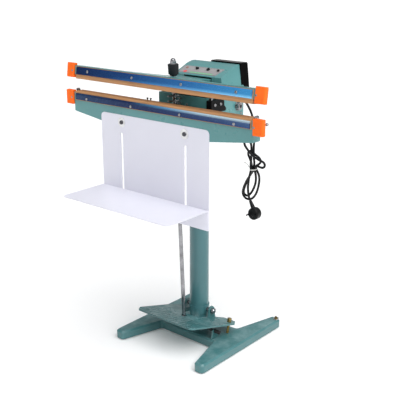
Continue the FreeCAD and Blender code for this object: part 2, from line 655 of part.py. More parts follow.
def control_hole(x):
    """Hole through the slope for the shaft of one control."""
    return on_slope(rod((x, CONTROL_UP, -6), (x, CONTROL_UP, 3), 3.2))


def control_panel():
    """Printed plate on the slope, with its right-hand edge at a slant."""
    plate = outline_z([(-80, 6), (60, 6), (72, 43), (-80, 43)], 0, 0.8, [2, 3, 3, 2])
    return cut_all(on_slope(plate), [control_hole(x) for x in CONTROL_X])


def timer_knob(x):
    """Round knob with a raised pointer bar."""
    disc = cone((x, CONTROL_UP, 1.1), (x, CONTROL_UP, 3.6), 5.4, 5.0)
    pointer = box((x - 1.3, x + 1.3), (CONTROL_UP - 4.8, CONTROL_UP + 4.8), (3.2, 6.0))
    pointer.rotate(FreeCAD.Vector(x, CONTROL_UP, 0), Z_AXIS, POINTER_TURN[x])
    shaft = rod((x, CONTROL_UP, -8.0), (x, CONTROL_UP, 1.1), 3.0)
    return on_slope(fuse([disc, pointer, shaft]))


def pilot_lamp():
    """Round bezel with its domed lens, at the left of the panel."""
    x = CONTROL_X[0]
    bezel = rod((x, CONTROL_UP, 0.8), (x, CONTROL_UP, 1.8), 4.4)
    lens = Part.makeSphere(3.2, FreeCAD.Vector(x, CONTROL_UP, 1.0))
    lens = lens.cut(box((x - 5, x + 5), (CONTROL_UP - 5, CONTROL_UP + 5), (-3, 0.8)))
    tail = rod((x, CONTROL_UP, -8.0), (x, CONTROL_UP, 0.8), 3.1)
    return on_slope(fuse([bezel, lens, tail]))


def fuse_holder():
    """Slotted fuse cap at the right of the panel."""
    x = CONTROL_X[3]
    cap = cone((x, CONTROL_UP, 0.8), (x, CONTROL_UP, 3.8), 4.3, 3.8)
    groove = box((x - 6, x + 6), (CONTROL_UP - 0.6, CONTROL_UP + 0.6), (3.0, 6.0))
    tail = rod((x, CONTROL_UP, -8.0), (x, CONTROL_UP, 0.8), 3.1)
    return on_slope(fuse([cap.cut(groove), tail]))


def control_board():
    """Printed circuit board under the slope, with the two timer potentiometers."""
    board = box((-72, 62), (18, 47), (-12.0, -10.4))
    cans = [rod((x, CONTROL_UP, -10.4), (x, CONTROL_UP, -8.2), 8.0) for x in CONTROL_X[1:3]]
    return on_slope(fuse([board] + cans))


def rear_cover():
    """Black cover over the transformer side, open towards the hood."""
    profile = [(HOOD_BACK, 769.0), (129.0, 769.0), (115.5, 862.5), (HOOD_BACK, 862.5)]
    solid = prism([(COVER_LEFT, y, z) for y, z in profile], (COVER_RIGHT - COVER_LEFT, 0, 0), [0, 3, 8, 0])
    inner = [(HOOD_BACK - 1, 767.0), (126.5, 767.0), (113.3, 860.3), (HOOD_BACK - 1, 860.3)]
    inside = (COVER_RIGHT - COVER_LEFT - 4, 0, 0)
    cavity = prism([(COVER_LEFT + 2, y, z) for y, z in inner], inside, [0, 2, 6, 0])
    body_room = box((COVER_LEFT - 1, COVER_RIGHT + 1), (HOOD_BACK - 1, BODY_BACK), (760, BODY_SIDE_REAR))
    return cut_all(solid, [cavity, body_room] + sheet_screw_holes())


def transformer():
    """Laminated core with its winding, on a bent foot plate over the column's bolts."""
    core = box((-40, 40), (-52, 14), (BODY_FLOOR + 14, BODY_FLOOR + 60))
    coil = box((-26, 26), (-60, 22), (BODY_FLOOR + 20, BODY_FLOOR + 54))
    plate = box((-42, 42), (-66, 42), (BODY_FLOOR + 12, BODY_FLOOR + 14))
    front_leg = box((-42, 42), (-66, -64), (BODY_FLOOR + SHEET, BODY_FLOOR + 12))
    rear_leg = box((-42, 42), (40, 42), (BODY_FLOOR + SHEET, BODY_FLOOR + 12))
    return fuse([core, coil, plate, front_leg, rear_leg])


def hinge_axle():
    """Axle of the upper arm, with the washers and nuts outside the body and the spacers inside it."""
    pieces = [rod((-103, HINGE_Y, HINGE_Z), (103, HINGE_Y, HINGE_Z), 8.0)]
    for side in SIDES:
        start = side * BODY_HALF
        washer = ring((start, HINGE_Y, HINGE_Z), (start + side * 2, HINGE_Y, HINGE_Z), 14.0, 8.0)
        nut = hexagon((start + side * 2, HINGE_Y, HINGE_Z), (side, 0, 0), 22.0, 7.0)
        nut = nut.cut(rod((start, HINGE_Y, HINGE_Z), (start + side * 12, HINGE_Y, HINGE_Z), 8.0))
        spacer = ring((side * 49.3, HINGE_Y, HINGE_Z), (side * 89.3, HINGE_Y, HINGE_Z), 11.0, 8.0)
        pieces += [washer, nut, spacer]
    return pieces


# ---- micro switch ----
def micro_switch():
    """Switch case on the right wall of the body, with the lug of its lever."""
    profile = [(-78, 748), (-70, 742), (-14, 740), (-12, 748), (-20, 756), (-22, 775), (-78, 775)]
    case = prism([(BODY_HALF, y, z) for y, z in profile], (18.0, 0, 0), [2, 3, 3, 3, 3, 2, 2])
    holes = [rod((BODY_HALF - 1, y, SWITCH_SCREWS_Z), (SWITCH_OUTER + 1, y, SWITCH_SCREWS_Z), 2.0)
             for y in SWITCH_SCREWS_Y]
    lug = prism([(BODY_HALF + 7, -74, 775), (BODY_HALF + 7, -66, 775), (BODY_HALF + 7, -68, 780),
                 (BODY_HALF + 7, -72, 780)], (4.0, 0, 0))
    pin_hole = rod((BODY_HALF + 5, *SWITCH_PIVOT), (BODY_HALF + 13, *SWITCH_PIVOT), 0.85)
    return cut_all(fuse([case, lug]), holes + [pin_hole])


def micro_switch_lever():
    """Forked spring lever that the arm's striker presses when the jaws close."""
    x0 = BODY_HALF + 4.5
    x1 = BODY_HALF + 13.5
    cheeks = [prism([(x, -73, 775.9), (x, -67, 775.9), (x, -66, 779.5), (x, -73, 779.5)], (1.5, 0, 0))
              for x in (x0, x1 - 1.5)]
    blade = prism([(x0, -72, 780.4), (x0, -30, 784.4), (x0, -30, 785.6), (x0, -72, 781.6)], (x1 - x0, 0, 0))
    webs = [prism([(x, -73, 779.5), (x, -66, 779.5), (x, -66, 781.5), (x, -73, 781.5)], (1.5, 0, 0))
            for x in (x0, x1 - 1.5)]
    pin = rod((x0, *SWITCH_PIVOT), (x1, *SWITCH_PIVOT), 0.8)
    return fuse(cheeks + webs + [blade, pin])


# ---- upper arm, modelled closed ----
def open_arm(shape):
    """Swing a piece of the closed arm up to its rest position."""
    shape = shape.copy()
    shape.rotate(FreeCAD.Vector(0, HINGE_Y, HINGE_Z), X_AXIS, -ARM_OPEN_ANGLE)
    return shape


def upper_arm():
    """Plate on two webs that carries the upper jaw, with the striker of the micro switch."""
    right = [(152.0, CHANNEL_BACK), (130.0, -146.0), (60.0, -118.0), (50.0, -100.0), (50.0, 64.0)]
    plate = outline_z(mirrored(right), ARM_TOP - ARM_PLATE, ARM_TOP, [3, 8, 12, 12, 3, 3, 12, 12, 8, 3])
    flange = box((-150, 150), (CHANNEL_BACK, CHANNEL_BACK + 4), (788.0, ARM_TOP))
    web_outline = [(-104, ARM_TOP - 2), (-104, 794), (-60, 786), (30, 786), (52, 724), (80, 724), (80, 760),
                   (66, ARM_TOP - 2)]
    web = prism([(44.0, y, z) for y, z in web_outline], (WEB, 0, 0), [0, 0, 0, 20, 8, 14, 0, 0])
    bore = rod((-60, HINGE_Y, HINGE_Z), (60, HINGE_Y, HINGE_Z), 8.06)
    webs = [part.cut(bore) for part in both_sides(web)]
    slot_front = ROD_HOLE_Y - 8.5
    slot_rear = ROD_HOLE_Y + 8.5
    slot_outline = [(-7.5, slot_front), (7.5, slot_front), (7.5, slot_rear), (-7.5, slot_rear)]
    rod_slot = outline_z(slot_outline, 800, 815, [7, 7, 7, 7])
    striker = box((50.0, 104.0), (-44.0, -36.0), (796.0, 799.0))
    striker_tab = box((96.0, 104.0), (-44.0, -36.0), (783.1, 797.0))
    striker_root = box((49.0, 53.0), (-48.0, -32.0), (792.0, 803.0))
    bolt_holes = [rod((x, -166, 798), (x, -150, 798), 3.1) for x in ARM_BOLT_X]
    solid = fuse([plate, flange] + webs + [striker_root, striker, striker_tab])
    return open_arm(cut_all(solid, [rod_slot] + bolt_holes))


def arm_bolts():
    """Bolts that hold the upper jaw to the arm."""
    bolts = []
    for x in ARM_BOLT_X:
        shank = rod((x, -169, 798), (x, CHANNEL_BACK + 4, 798), 3.0)
        head = hexagon((x, CHANNEL_BACK + 4, 798), (0, 1, 0), 10.0, 4.0)
        nut = hexagon((x, CHANNEL_BACK - 3, 798), (0, -1, 0), 10.0, 4.0)
        bolts.append(open_arm(fuse([shank, head, nut])))
    return bolts


def upper_jaw_channel():
    """Folded channel of the upper jaw, open below."""
    wall = 3.0
    outer = box((-BEAM_HALF, BEAM_HALF), (CHANNEL_FRONT, CHANNEL_BACK), (784.0, ARM_TOP))
    inner_depth = (CHANNEL_FRONT + wall, CHANNEL_BACK - wall)
    inner = box((-BEAM_HALF - 1, BEAM_HALF + 1), inner_depth, (783.0, ARM_TOP - wall))
    bolt_holes = [rod((x, -168, 798), (x, -160, 798), 3.1) for x in ARM_BOLT_X]
    screw_holes = [rod((x, CHANNEL_FRONT - 1, 796.0), (x, CHANNEL_FRONT + 4, 796.0), 2.1)
                   for x in strip_screw_places()]
    return open_arm(cut_all(outer, [inner] + bolt_holes + screw_holes))


def upper_jaw_bar():
    """Bar inside the front of the channel, which the clamp strip is screwed to."""
    bar = box((-JAW_BAR_HALF, JAW_BAR_HALF), (CHANNEL_FRONT + 3, -176.0), (784.0, 801.0))
    holes = [rod((x, -195, 796.0), (x, -186, 796.0), 2.1) for x in strip_screw_places()]
    return open_arm(cut_all(bar, holes))


def upper_pressure_pad():
    """Silicone strip that presses the film on the lower jaw."""
    half = SEAL_LENGTH / 2 + 3
    return open_arm(box((-half, half), (CHANNEL_FRONT, -164.0), (UPPER_JAW_BOTTOM + 0.8, 784.0)))


def upper_ptfe_cloth():
    """Folded sheet under the pad, up behind the clamp strip and up the rear of the pad."""
    front = CHANNEL_FRONT
    low, skin = UPPER_JAW_BOTTOM, 0.8
    profile = [(front - skin, 808.6), (front, 808.6), (front, low + skin), (-164.0, low + skin),
               (-164.0, 784.0), (-164.0 + skin, 784.0), (-164.0 + skin, low + 1.2), (-164.0, low),
               (front + 0.6, low), (front - skin, low + 1.4)]
    cloth = profile_x(profile, SEAL_LENGTH / 2 + 3)
    holes = [rod((x, front - 2, 796.0), (x, front + 1, 796.0), 2.1) for x in strip_screw_places()]
    return open_arm(cut_all(cloth, holes))


def upper_clamp_strip():
    """Aluminium strip along the front of the upper jaw."""
    profile = [(UPPER_STRIP_FRONT, 785.6), (UPPER_STRIP_FRONT + 0.8, 784.8), (CHANNEL_FRONT - 0.8, 784.8),
               (CHANNEL_FRONT - 0.8, 807.2), (UPPER_STRIP_FRONT + 1.2, 807.2), (UPPER_STRIP_FRONT, 804.0)]
    strip = profile_x(profile, SEAL_LENGTH / 2)
    holes = [rod((x, -198, 796.0), (x, -188, 796.0), 2.1) for x in strip_screw_places()]
    return open_arm(cut_all(strip, holes))


def upper_jaw_screws():
    """Screws of the upper clamp strip and of the upper end caps."""
    strip_screws = [pan_screw((x, UPPER_STRIP_FRONT, 796.0), (0, -1, 0), 4.0, 2.4, 1.95, 7.0)
                    for x in strip_screw_places()]
    cap_screws = [pan_screw((side * CAP_SCREW_X, UPPER_CAP_FRONT, 795.0), (0, -1, 0), 2.8, 1.8, 1.5, 5.5)
                  for side in SIDES]
    return [open_arm(screw) for screw in strip_screws + cap_screws]


# ---- end caps ----
def end_cap(side, front, low, high, tongue_front, tongue_low, tongue_high):
    """Moulded cap beyond the end of a jaw, held by a tongue inside the jaw's beam."""
    inner_face = BEAM_HALF + 0.6
    rear = front + CAP_DEPTH
    points = [(inner_face, front), (CAP_END, front), (CAP_END, rear), (inner_face, rear)]
    block = outline_z(points, low, high, [2, 6, 5, 2])
    block = block.makeFillet(1.5, edges_at(block, 2, high) + edges_at(block, 2, low))
    recess = box((inner_face + 4, CAP_END - 5), (front + 6, front + CAP_DEPTH + 1), (low + 5, high - 5))
    tongue_depth = (tongue_front, tongue_front + 5.5)
    tongue = box((JAW_BAR_HALF, inner_face + 5), tongue_depth, (tongue_low, tongue_high))
    cap = fuse([block.cut(recess), tongue])
    return cap if side > 0 else cap.mirror(ORIGIN, X_AXIS)


def lower_end_cap(side):
    """End cap of the lower jaw on one side."""
    cap = end_cap(side, LOWER_CAP_FRONT, 731.0, 773.2, -184.5, 744.5, 765.0)
    return cap.cut(cap_screw_hole(side, LOWER_CAP_FRONT, 752.0))


def upper_end_cap(side):
    """End cap of the upper jaw on one side."""
    cap = end_cap(side, UPPER_CAP_FRONT, 774.6, 817.4, CHANNEL_FRONT + 3, 784.0, 801.0)
    return open_arm(cap.cut(cap_screw_hole(side, UPPER_CAP_FRONT, 795.0)))


def cap_screw_hole(side, front, height):
    """Hole for the screw in the front of an end cap."""
    return rod((side * CAP_SCREW_X, front - 2, height), (side * CAP_SCREW_X, front + 5.6, height), 1.5)


def tension_hole(side):
    """Hole in the end of the beam for the tension screw."""
    return rod((side * (BEAM_HALF - 4), *TENSION_SCREW), (side * (BEAM_HALF + 1), *TENSION_SCREW), 2.4)


def element_tensioners():
    """At each end of the lower jaw: the screw that pulls the element tight, and its bowed flat spring."""
    pieces = []
    for side in SIDES:
        shank = rod((side * 318, *TENSION_SCREW), (side * 358, *TENSION_SCREW), 2.4)
        ball = Part.makeSphere(4.2, FreeCAD.Vector(side * 361, *TENSION_SCREW))
        nut = hexagon((side * (BEAM_HALF - 3), *TENSION_SCREW), (-side, 0, 0), 8.0, 4.0)
        pieces.append(fuse([shank, ball, nut]))
        middle = side * (BEAM_HALF - 1.3)
        bow = ring((middle, -176.5, 773.6), (middle, -168.5, 773.6), 4.6, 3.4)
        foot = box((middle - 1.2, middle + 1.2), (-176.5, -168.5), (768.0, 769.6))
        pieces.append(fuse([bow.cut(box((middle - 6, middle + 6), (-178, -167), (765, 769.4))), foot]))
    return pieces


# ---- shelf ----
def shelf_back_plate():
    """Slotted plate below the beam, which the tray slides on."""
    points = [(SHELF_RIGHT, 443.0), (SHELF_RIGHT, 723.0), (SHELF_LEFT, 723.0), (SHELF_LEFT, 443.0)]
    plate = outline_y(points, BEAM_FRONT - SHELF_SHEET, BEAM_FRONT, [4, 13, 13, 4])
    tools = [outline_y([(x - 4, 455), (x + 4, 455), (x + 4, 671), (x - 4, 671)], -192, -185, [3.9] * 4)
             for x in SLOT_X]
    tools += [rod((x, -192, SHELF_SCREW_Z), (x, -185, SHELF_SCREW_Z), 3.1) for x in SHELF_SCREW_X]
    return cut_all(plate, tools)


def shelf_screws():
    """Two screws with wide washers that hold the back plate to the beam."""
    front = BEAM_FRONT - SHELF_SHEET
    pieces = []
    for x in SHELF_SCREW_X:
        pieces.append(ring((x, front - 1.5, SHELF_SCREW_Z), (x, front, SHELF_SCREW_Z), 14.0, 3.1))
        pieces.append(pan_screw((x, front - 1.5, SHELF_SCREW_Z), (0, -1, 0), 6.0, 3.6, 3.0, 10.0))
    return pieces


def shelf_tray():
    """Angle of thin sheet: the table and the flange that is bolted through the slots."""
    back = BEAM_FRONT - SHELF_SHEET - 0.2
    front = SHELF_FRONT
    plan = [(SHELF_RIGHT, front), (SHELF_RIGHT, back), (SHELF_LEFT, back), (SHELF_LEFT, front)]
    table = outline_z(plan, SHELF_TOP - SHELF_SHEET, SHELF_TOP, [15, 0, 0, 15])
    face = [(SHELF_RIGHT, SHELF_TOP), (SHELF_RIGHT, 463), (SHELF_LEFT, 463), (SHELF_LEFT, SHELF_TOP)]
    flange = outline_y(face, back - SHELF_SHEET, back, [0, 5, 5, 0])
    holes = [rod((x, back - 4, SHELF_BOLT_Z), (x, back + 1, SHELF_BOLT_Z), 3.0) for x in SLOT_X]
    return cut_all(fuse([table, flange]), holes)


def shelf_clamps():
    """Bolts through the slots, with the wing nuts that lock the tray at its height."""
    pieces = []
    tray_front = BEAM_FRONT - 2 * SHELF_SHEET - 0.2
    front = BEAM_FRONT + 0.2
    for x in SLOT_X:
        pieces.append(pan_screw((x, tray_front, SHELF_BOLT_Z), (0, -1, 0), 6.0, 3.0, 3.0, 15.0))
        washer = rod((x, front, SHELF_BOLT_Z), (x, front + 1.5, SHELF_BOLT_Z), 9.0)
        hub = cone((x, front + 1.5, SHELF_BOLT_Z), (x, front + 9, SHELF_BOLT_Z), 6.5, 5.0)
        wings = [wing(x, turn, front) for turn in SIDES]
        nut = fuse([washer, hub] + wings)
        pieces.append(nut.cut(rod((x, front - 1, SHELF_BOLT_Z), (x, front + 20, SHELF_BOLT_Z), 3.0)))
    return pieces


def wing(x, turn, front):
    """One of the two ears of a wing nut."""
    outline = [(4, 3.5), (13, 8), (13, 15), (8, 14), (4, 8)]
    points = [(x + turn * out, front + back, SHELF_BOLT_Z - 1) for out, back in outline]
    return prism(points, (0, 0, 2), [0, 3, 3, 3, 0])


# ---- mains cord ----
def cord_gland():
    """Collar in the rear wall with the first, thick part of the strain relief."""
    x, z = GLAND
    front = BODY_BACK
    body = rod((x, front - SHEET - 3, z), (x, front, z), 6.5)
    collar = rod((x, front, z), (x, front + 3, z), 10.0)
    relief = cone((x, front + 3, z), CORD_ROUTE[0], 7.0, 4.6)
    return fuse([body, collar, relief])


def cord_radii():
    """Arc at each corner of the route, as large as its two runs allow."""
    vectors = [FreeCAD.Vector(*point) for point in CORD_ROUTE]
    radii = []
    for before, point, after in zip(vectors, vectors[1:], vectors[2:]):
        turn = (point - before).getAngle(after - point)
        shorter = min((point - before).Length, (after - point).Length)
        radii.append(0.45 * shorter / math.tan(turn / 2))
    return radii


def cord_path():
    """Centreline of the cord: straight runs joined by tangent arcs."""
    return rounded_wire(CORD_ROUTE, [0] + cord_radii() + [0], closed=False)


def cord():
    """Cord from the gland down to the hank."""
    start = FreeCAD.Vector(*CORD_ROUTE[0])
    direction = FreeCAD.Vector(*CORD_ROUTE[1]) - start
    circle = Part.Wire(Part.makeCircle(CORD_RADIUS, start, direction))
    return cord_path().makePipeShell([circle], True, False)


def hank_block():
    """Outer shape of the tied loops: a small upper fan, a waist at the tie and a longer lower loop."""
    outline = [(74.0, 606.0), (82.0, 618.0), (114.0, 618.0), (122.0, 594.0), (152.0, 564.0),
               (148.0, 552.0), (113.0, 544.0), (115.0, 530.0), (125.0, 512.0), (124.0, 470.0),
               (104.0, 440.0), (78.0, 430.0), (60.0, 446.0), (60.0, 474.0), (99.0, 532.0), (100.0, 544.0)]
    radii = [6, 4, 4, 12, 6, 6, 8, 8, 14, 14, 14, 14, 12, 14, 12, 12]
    return outline_y(outline, HANK_Y - 12, HANK_Y + 12, radii)


def hank_waist():
    """Tightened core of the hank, inside the tie."""
    return box((102.5, 111.5), (HANK_Y - 9, HANK_Y + 9), (530.0, 545.0))


def cord_hank():
    """Hank with room for its tie, hollowed where the cord runs into it."""
    tie_space = box((90, 125), (HANK_Y - 20, HANK_Y + 20), (535.0, 539.0)).cut(hank_waist())
    return hank_block().cut(tie_space).cut(cord())


def cord_tie():
    """Wire tie twisted round the waist of the hank."""
    band = box((101.0, 113.0), (HANK_Y - 10.5, HANK_Y + 10.5), (535.5, 538.5))
    return band.cut(hank_waist())


def plug():
    """Round two-pin plug hanging from the hank by its strain relief."""
    neck_top = FreeCAD.Vector(98.0, HANK_Y, 434.0)
    centre = FreeCAD.Vector(117.0, HANK_Y, 397.0)
    relief = cone(tuple(neck_top), tuple(centre), 4.5, 9.0)
    face = rod((centre.x, HANK_Y - 14, centre.z), (centre.x, HANK_Y + 10, centre.z), 19.0)
    rims = [edge for edge in face.Edges if edge.Closed and edge.Curve.TypeId == "Part::GeomCircle"]
    face = face.makeFillet(4.0, rims)
    pin = rod((centre.x - 9.5, HANK_Y - 32, centre.z), (centre.x - 9.5, HANK_Y - 13, centre.z), 2.4)
    other_pin = pin.copy()
    other_pin.translate(FreeCAD.Vector(19.0, 0, 0))
    return fuse([face, relief, pin, other_pin]).cut(hank_block())


# ---- list of the pieces and export ----
def timer_knob_left():
    return timer_knob(CONTROL_X[1])


def timer_knob_right():
    return timer_knob(CONTROL_X[2])


def lower_cap_left():
    return lower_end_cap(-1)


def lower_cap_right():
    return lower_end_cap(1)


def upper_cap_left():
    return upper_end_cap(-1)


def upper_cap_right():
    return upper_end_cap(1)


PIECES = [base_frame, rubber_feet, earth_stud, column, pedal_pivot_bolt, column_flange, head_bolts,
          pedal, pedal_adjusting_bolt, pedal_stop_brackets, pedal_stop_bar,
          pull_rod, rod_nuts, knob_body,
          lower_beam, lower_jaw_bar, lower_insulation, heating_element, lower_ptfe_cloth, lower_clamp_strip,
          lower_jaw_screws, lower_cap_left, lower_cap_right, element_tensioners, feed_terminals,
          head_gusset, return_spring, head_body, head_screws, transformer, hinge_axle,
          hood, control_panel, timer_knob_left, timer_knob_right, pilot_lamp, fuse_holder, control_board,
          rear_cover, micro_switch, micro_switch_lever,
          upper_arm, arm_bolts, upper_jaw_channel, upper_jaw_bar, upper_pressure_pad, upper_ptfe_cloth,
          upper_clamp_strip, upper_jaw_screws, upper_cap_left, upper_cap_right,
          shelf_back_plate, shelf_screws, shelf_tray, shelf_clamps,
          cord_gland, cord, cord_hank, cord_tie, plug]


def main():
    """Make, place and save every piece, and print what was made."""
    os.makedirs("parts", exist_ok=True)
    for piece in PIECES:
        made = piece()
        shape = Part.makeCompound(made) if isinstance(made, list) else made
        shape.translate(FreeCAD.Vector(0, FOOTPRINT_SHIFT, 0))
        shape.exportStep(os.path.join("parts", piece.__name__ + ".step"))
        volume = round(shape.Volume / 1000, 2)
        print(piece.__name__, len(shape.Solids), "solids", volume, "cm3", shape.isValid())
    length = cord_path().Length
    print("cord radii", [round(radius, 1) for radius in cord_radii()], "length", round(length, 1))
    print("cord volume ratio", round(cord().Volume / (math.pi * CORD_RADIUS ** 2 * length), 4))


main()
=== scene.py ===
"""Pedal impulse heat sealer: materials, cord, panel print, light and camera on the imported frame."""

import math

import bmesh
import bpy
from mathutils import Matrix, Vector


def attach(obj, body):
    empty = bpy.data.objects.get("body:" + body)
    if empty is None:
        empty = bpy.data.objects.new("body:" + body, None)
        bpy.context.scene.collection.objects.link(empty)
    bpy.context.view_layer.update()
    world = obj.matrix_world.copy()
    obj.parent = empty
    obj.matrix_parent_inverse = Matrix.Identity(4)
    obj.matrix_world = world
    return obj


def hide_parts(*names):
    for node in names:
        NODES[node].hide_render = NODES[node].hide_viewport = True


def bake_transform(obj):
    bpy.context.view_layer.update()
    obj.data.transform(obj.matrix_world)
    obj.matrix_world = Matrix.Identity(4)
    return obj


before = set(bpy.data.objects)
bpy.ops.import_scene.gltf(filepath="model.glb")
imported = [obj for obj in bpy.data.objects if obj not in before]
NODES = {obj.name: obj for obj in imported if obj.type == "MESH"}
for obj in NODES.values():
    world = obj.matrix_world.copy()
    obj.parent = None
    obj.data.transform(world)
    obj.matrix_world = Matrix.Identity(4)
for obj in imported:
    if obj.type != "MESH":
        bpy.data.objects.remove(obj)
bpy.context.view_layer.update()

MM = 0.001

# slope that the control panel lies on, and its foot in metres
PANEL_TILT = math.radians(25.28)
PANEL_FOOT_Y = 0.069
PANEL_FOOT_Z = 0.8285

# what is on the slope, in millimetres, and the dials' scales, in degrees
PANEL_FACE = 0.8
INK_HEIGHT = 0.05
CORNER_STEPS = 5
TIMER_X = (-24.0, 17.0)
CONTROL_UP = 32.0
DIAL_START = 225.0
DIAL_STEP = 27.0

# pedal tread, in metres: the crossed grooves of the CAD pedal, as they lie at rest
GROOVE = 0.0028
TREAD_LEFT = -0.1005
TREAD_PITCH_X = 0.015
TREAD_HALF_WIDTH = 0.104
TREAD_FRONT = -0.0754
TREAD_PITCH_Y = 0.01456
TREAD_REAR = -0.0123

EARTH_STUD = (0.169, 0.264)     # X and Y
ARM_HINGE = (0.143, 0.740)      # Y and Z
WASHER_FRONT = -0.11406         # Y of the face that the shelf screws' heads stand on

CORD_DIAMETER = 0.007
RELIEF_LENGTH = 0.030
RELIEF_STEPS = 60
RELIEF_RADIUS = 0.0057
RELIEF_TAPER = 0.0014
RELIEF_GROOVE = 0.0006
TIE_RADIUS = 0.0009
TIE_CENTRE = (107, 207, 537)    # millimetres, as are the next two
TIE_TWIST_START = (98.4, 202.5, 539.0)
TIE_TWIST_END = (76.5, 197.0, 556.5)
TIE_TWIST_STEPS = 20


# ---- camera ----
def make_camera():
    """Camera at the viewing angle of the reference picture."""
    data = bpy.data.cameras.new("camera")
    data.lens = 68.9
    data.sensor_width = 36.0
    camera = bpy.data.objects.new("camera", data)
    camera.location = (1.4369, -1.6271, 1.1553)
    camera.rotation_euler = (math.radians(72.39), 0.0, math.radians(40.08))
    bpy.context.scene.collection.objects.link(camera)
    bpy.context.scene.camera = camera


make_camera()


# ---- material building ----
def colour(red, green, blue):
    """Linear colour from screen values of 0 to 255."""
    return tuple(linear(v / 255) for v in (red, green, blue)) + (1.0,)


def linear(value):
    """Screen value from 0 to 1 as linear light."""
    return value / 12.92 if value <= 0.04045 else ((value + 0.055) / 1.055) ** 2.4


def scaled(rgba, factor):
    """The same colour, lighter or darker."""
    return tuple(min(1.0, v * factor) for v in rgba[:3]) + (1.0,)


class Look:
    """A node material under construction, with short calls for the nodes that it needs."""

    def __init__(self, name):
        self.material = bpy.data.materials.new(name)
        self.material.use_nodes = True
        self.tree = self.material.node_tree
        self.shader = self.tree.nodes["Principled BSDF"]
        self.place = self.tree.nodes.new("ShaderNodeTexCoord").outputs["Object"]

    def put(self, socket, value):
        """Gives a socket a link or a constant."""
        if isinstance(value, bpy.types.NodeSocket):
            self.tree.links.new(value, socket)
        else:
            socket.default_value = value

    def set(self, **values):
        """Sets inputs of the shader, with underscores for the spaces in their names."""
        for name, value in values.items():
            self.put(self.shader.inputs[name.replace("_", " ")], value)

    def stretch(self, x, y, z):
        """Object coordinates scaled along each axis."""
        node = self.tree.nodes.new("ShaderNodeMapping")
        self.put(node.inputs["Vector"], self.place)
        node.inputs["Scale"].default_value = (x, y, z)
        return node.outputs["Vector"]

    def noise(self, scale, detail=3.0, rough=0.5, at=None):
        """Noise from 0 to 1."""
        node = self.tree.nodes.new("ShaderNodeTexNoise")
        self.put(node.inputs["Vector"], at or self.place)
        node.inputs["Scale"].default_value = scale
        node.inputs["Detail"].default_value = detail
        node.inputs["Roughness"].default_value = rough
        return node.outputs["Fac"]

    def wave(self, scale, axis, at=None, distort=0.0):
        """Parallel bands across one axis."""
        node = self.tree.nodes.new("ShaderNodeTexWave")
        node.bands_direction = axis
        self.put(node.inputs["Vector"], at or self.place)
        node.inputs["Scale"].default_value = scale
        node.inputs["Distortion"].default_value = distort
        return node.outputs["Fac"]

    def ramp(self, value, stops):
        """Colour along a value, from a list of place and colour."""
        node = self.tree.nodes.new("ShaderNodeValToRGB")
        self.put(node.inputs["Fac"], value)
        while len(node.color_ramp.elements) < len(stops):
            node.color_ramp.elements.new(0.5)
        for element, (place, rgba) in zip(node.color_ramp.elements, stops):
            element.position = place
            element.color = rgba
        return node.outputs["Color"]

    def span(self, value, low, high, to_low=0.0, to_high=1.0):
        """A value moved from one range to another, held at its ends."""
        node = self.tree.nodes.new("ShaderNodeMapRange")
        self.put(node.inputs["Value"], value)
        node.inputs["From Min"].default_value = low
        node.inputs["From Max"].default_value = high
        node.inputs["To Min"].default_value = to_low
        node.inputs["To Max"].default_value = to_high
        return node.outputs["Result"]

    def math(self, operation, first, second):
        """Arithmetic on two values."""
        node = self.tree.nodes.new("ShaderNodeMath")
        node.operation = operation
        self.put(node.inputs[0], first)
        self.put(node.inputs[1], second)
        return node.outputs["Value"]

    def mix(self, amount, first, second, kind="MIX"):
        """Two colours mixed by an amount."""
        node = self.tree.nodes.new("ShaderNodeMix")
        node.data_type = "RGBA"
        node.blend_type = kind
        self.put(node.inputs["Factor"], amount)
        self.put(node.inputs[6], first)
        self.put(node.inputs[7], second)
        return node.outputs[2]

    def axis(self, index, at=None):
        """One coordinate of the place."""
        node = self.tree.nodes.new("ShaderNodeSeparateXYZ")
        self.put(node.inputs["Vector"], at or self.place)
        return node.outputs[index]

    def lines(self, index, start, pitch, width):
        """1 on evenly spaced lines across one axis, 0 between them."""
        steps = self.math("DIVIDE", self.math("SUBTRACT", self.axis(index), start), pitch)
        return self.math("LESS_THAN", self.math("FRACT", steps, 0.0), width / pitch)

    def tread(self):
        """1 in the crossed grooves at the front of the pedal."""
        along = self.lines(0, TREAD_LEFT, TREAD_PITCH_X, GROOVE)
        over = self.lines(1, TREAD_FRONT, TREAD_PITCH_Y, GROOVE)
        crossed = self.math("MAXIMUM", along, over)
        across = self.math("LESS_THAN", self.math("ABSOLUTE", self.axis(0), 0.0), TREAD_HALF_WIDTH)
        inside = self.math("LESS_THAN", self.axis(1), TREAD_REAR)
        return self.math("MULTIPLY", crossed, self.math("MULTIPLY", across, inside))

    def disc(self, axes, centre, radii):
        """1 inside the first radius round a line along the remaining axis, 0 beyond the second."""
        u = self.math("SUBTRACT", self.axis(axes[0]), centre[0])
        v = self.math("SUBTRACT", self.axis(axes[1]), centre[1])
        squares = self.math("ADD", self.math("MULTIPLY", u, u), self.math("MULTIPLY", v, v))
        return self.span(self.math("SQRT", squares, 0.0), radii[1], radii[0])

    def facing_up(self):
        """1 on faces that look up, 0 on the others."""
        node = self.tree.nodes.new("ShaderNodeNewGeometry")
        return self.span(self.axis(2, node.outputs["Normal"]), 0.6, 0.95)

    def soft_edges(self, radius):
        """Normal that rounds sharp edges by a small radius."""
        node = self.tree.nodes.new("ShaderNodeBevel")
        node.samples = 4
        node.inputs["Radius"].default_value = radius
        return node.outputs["Normal"]

    def edge_wear(self, radius):
        """1 along sharp edges, 0 on flat faces."""
        rounded = self.soft_edges(radius)
        true = self.tree.nodes.new("ShaderNodeNewGeometry").outputs["Normal"]
        dot = self.tree.nodes.new("ShaderNodeVectorMath")
        dot.operation = "DOT_PRODUCT"
        self.put(dot.inputs[0], rounded)
        self.put(dot.inputs[1], true)
        return self.span(dot.outputs["Value"], 0.97, 0.80)

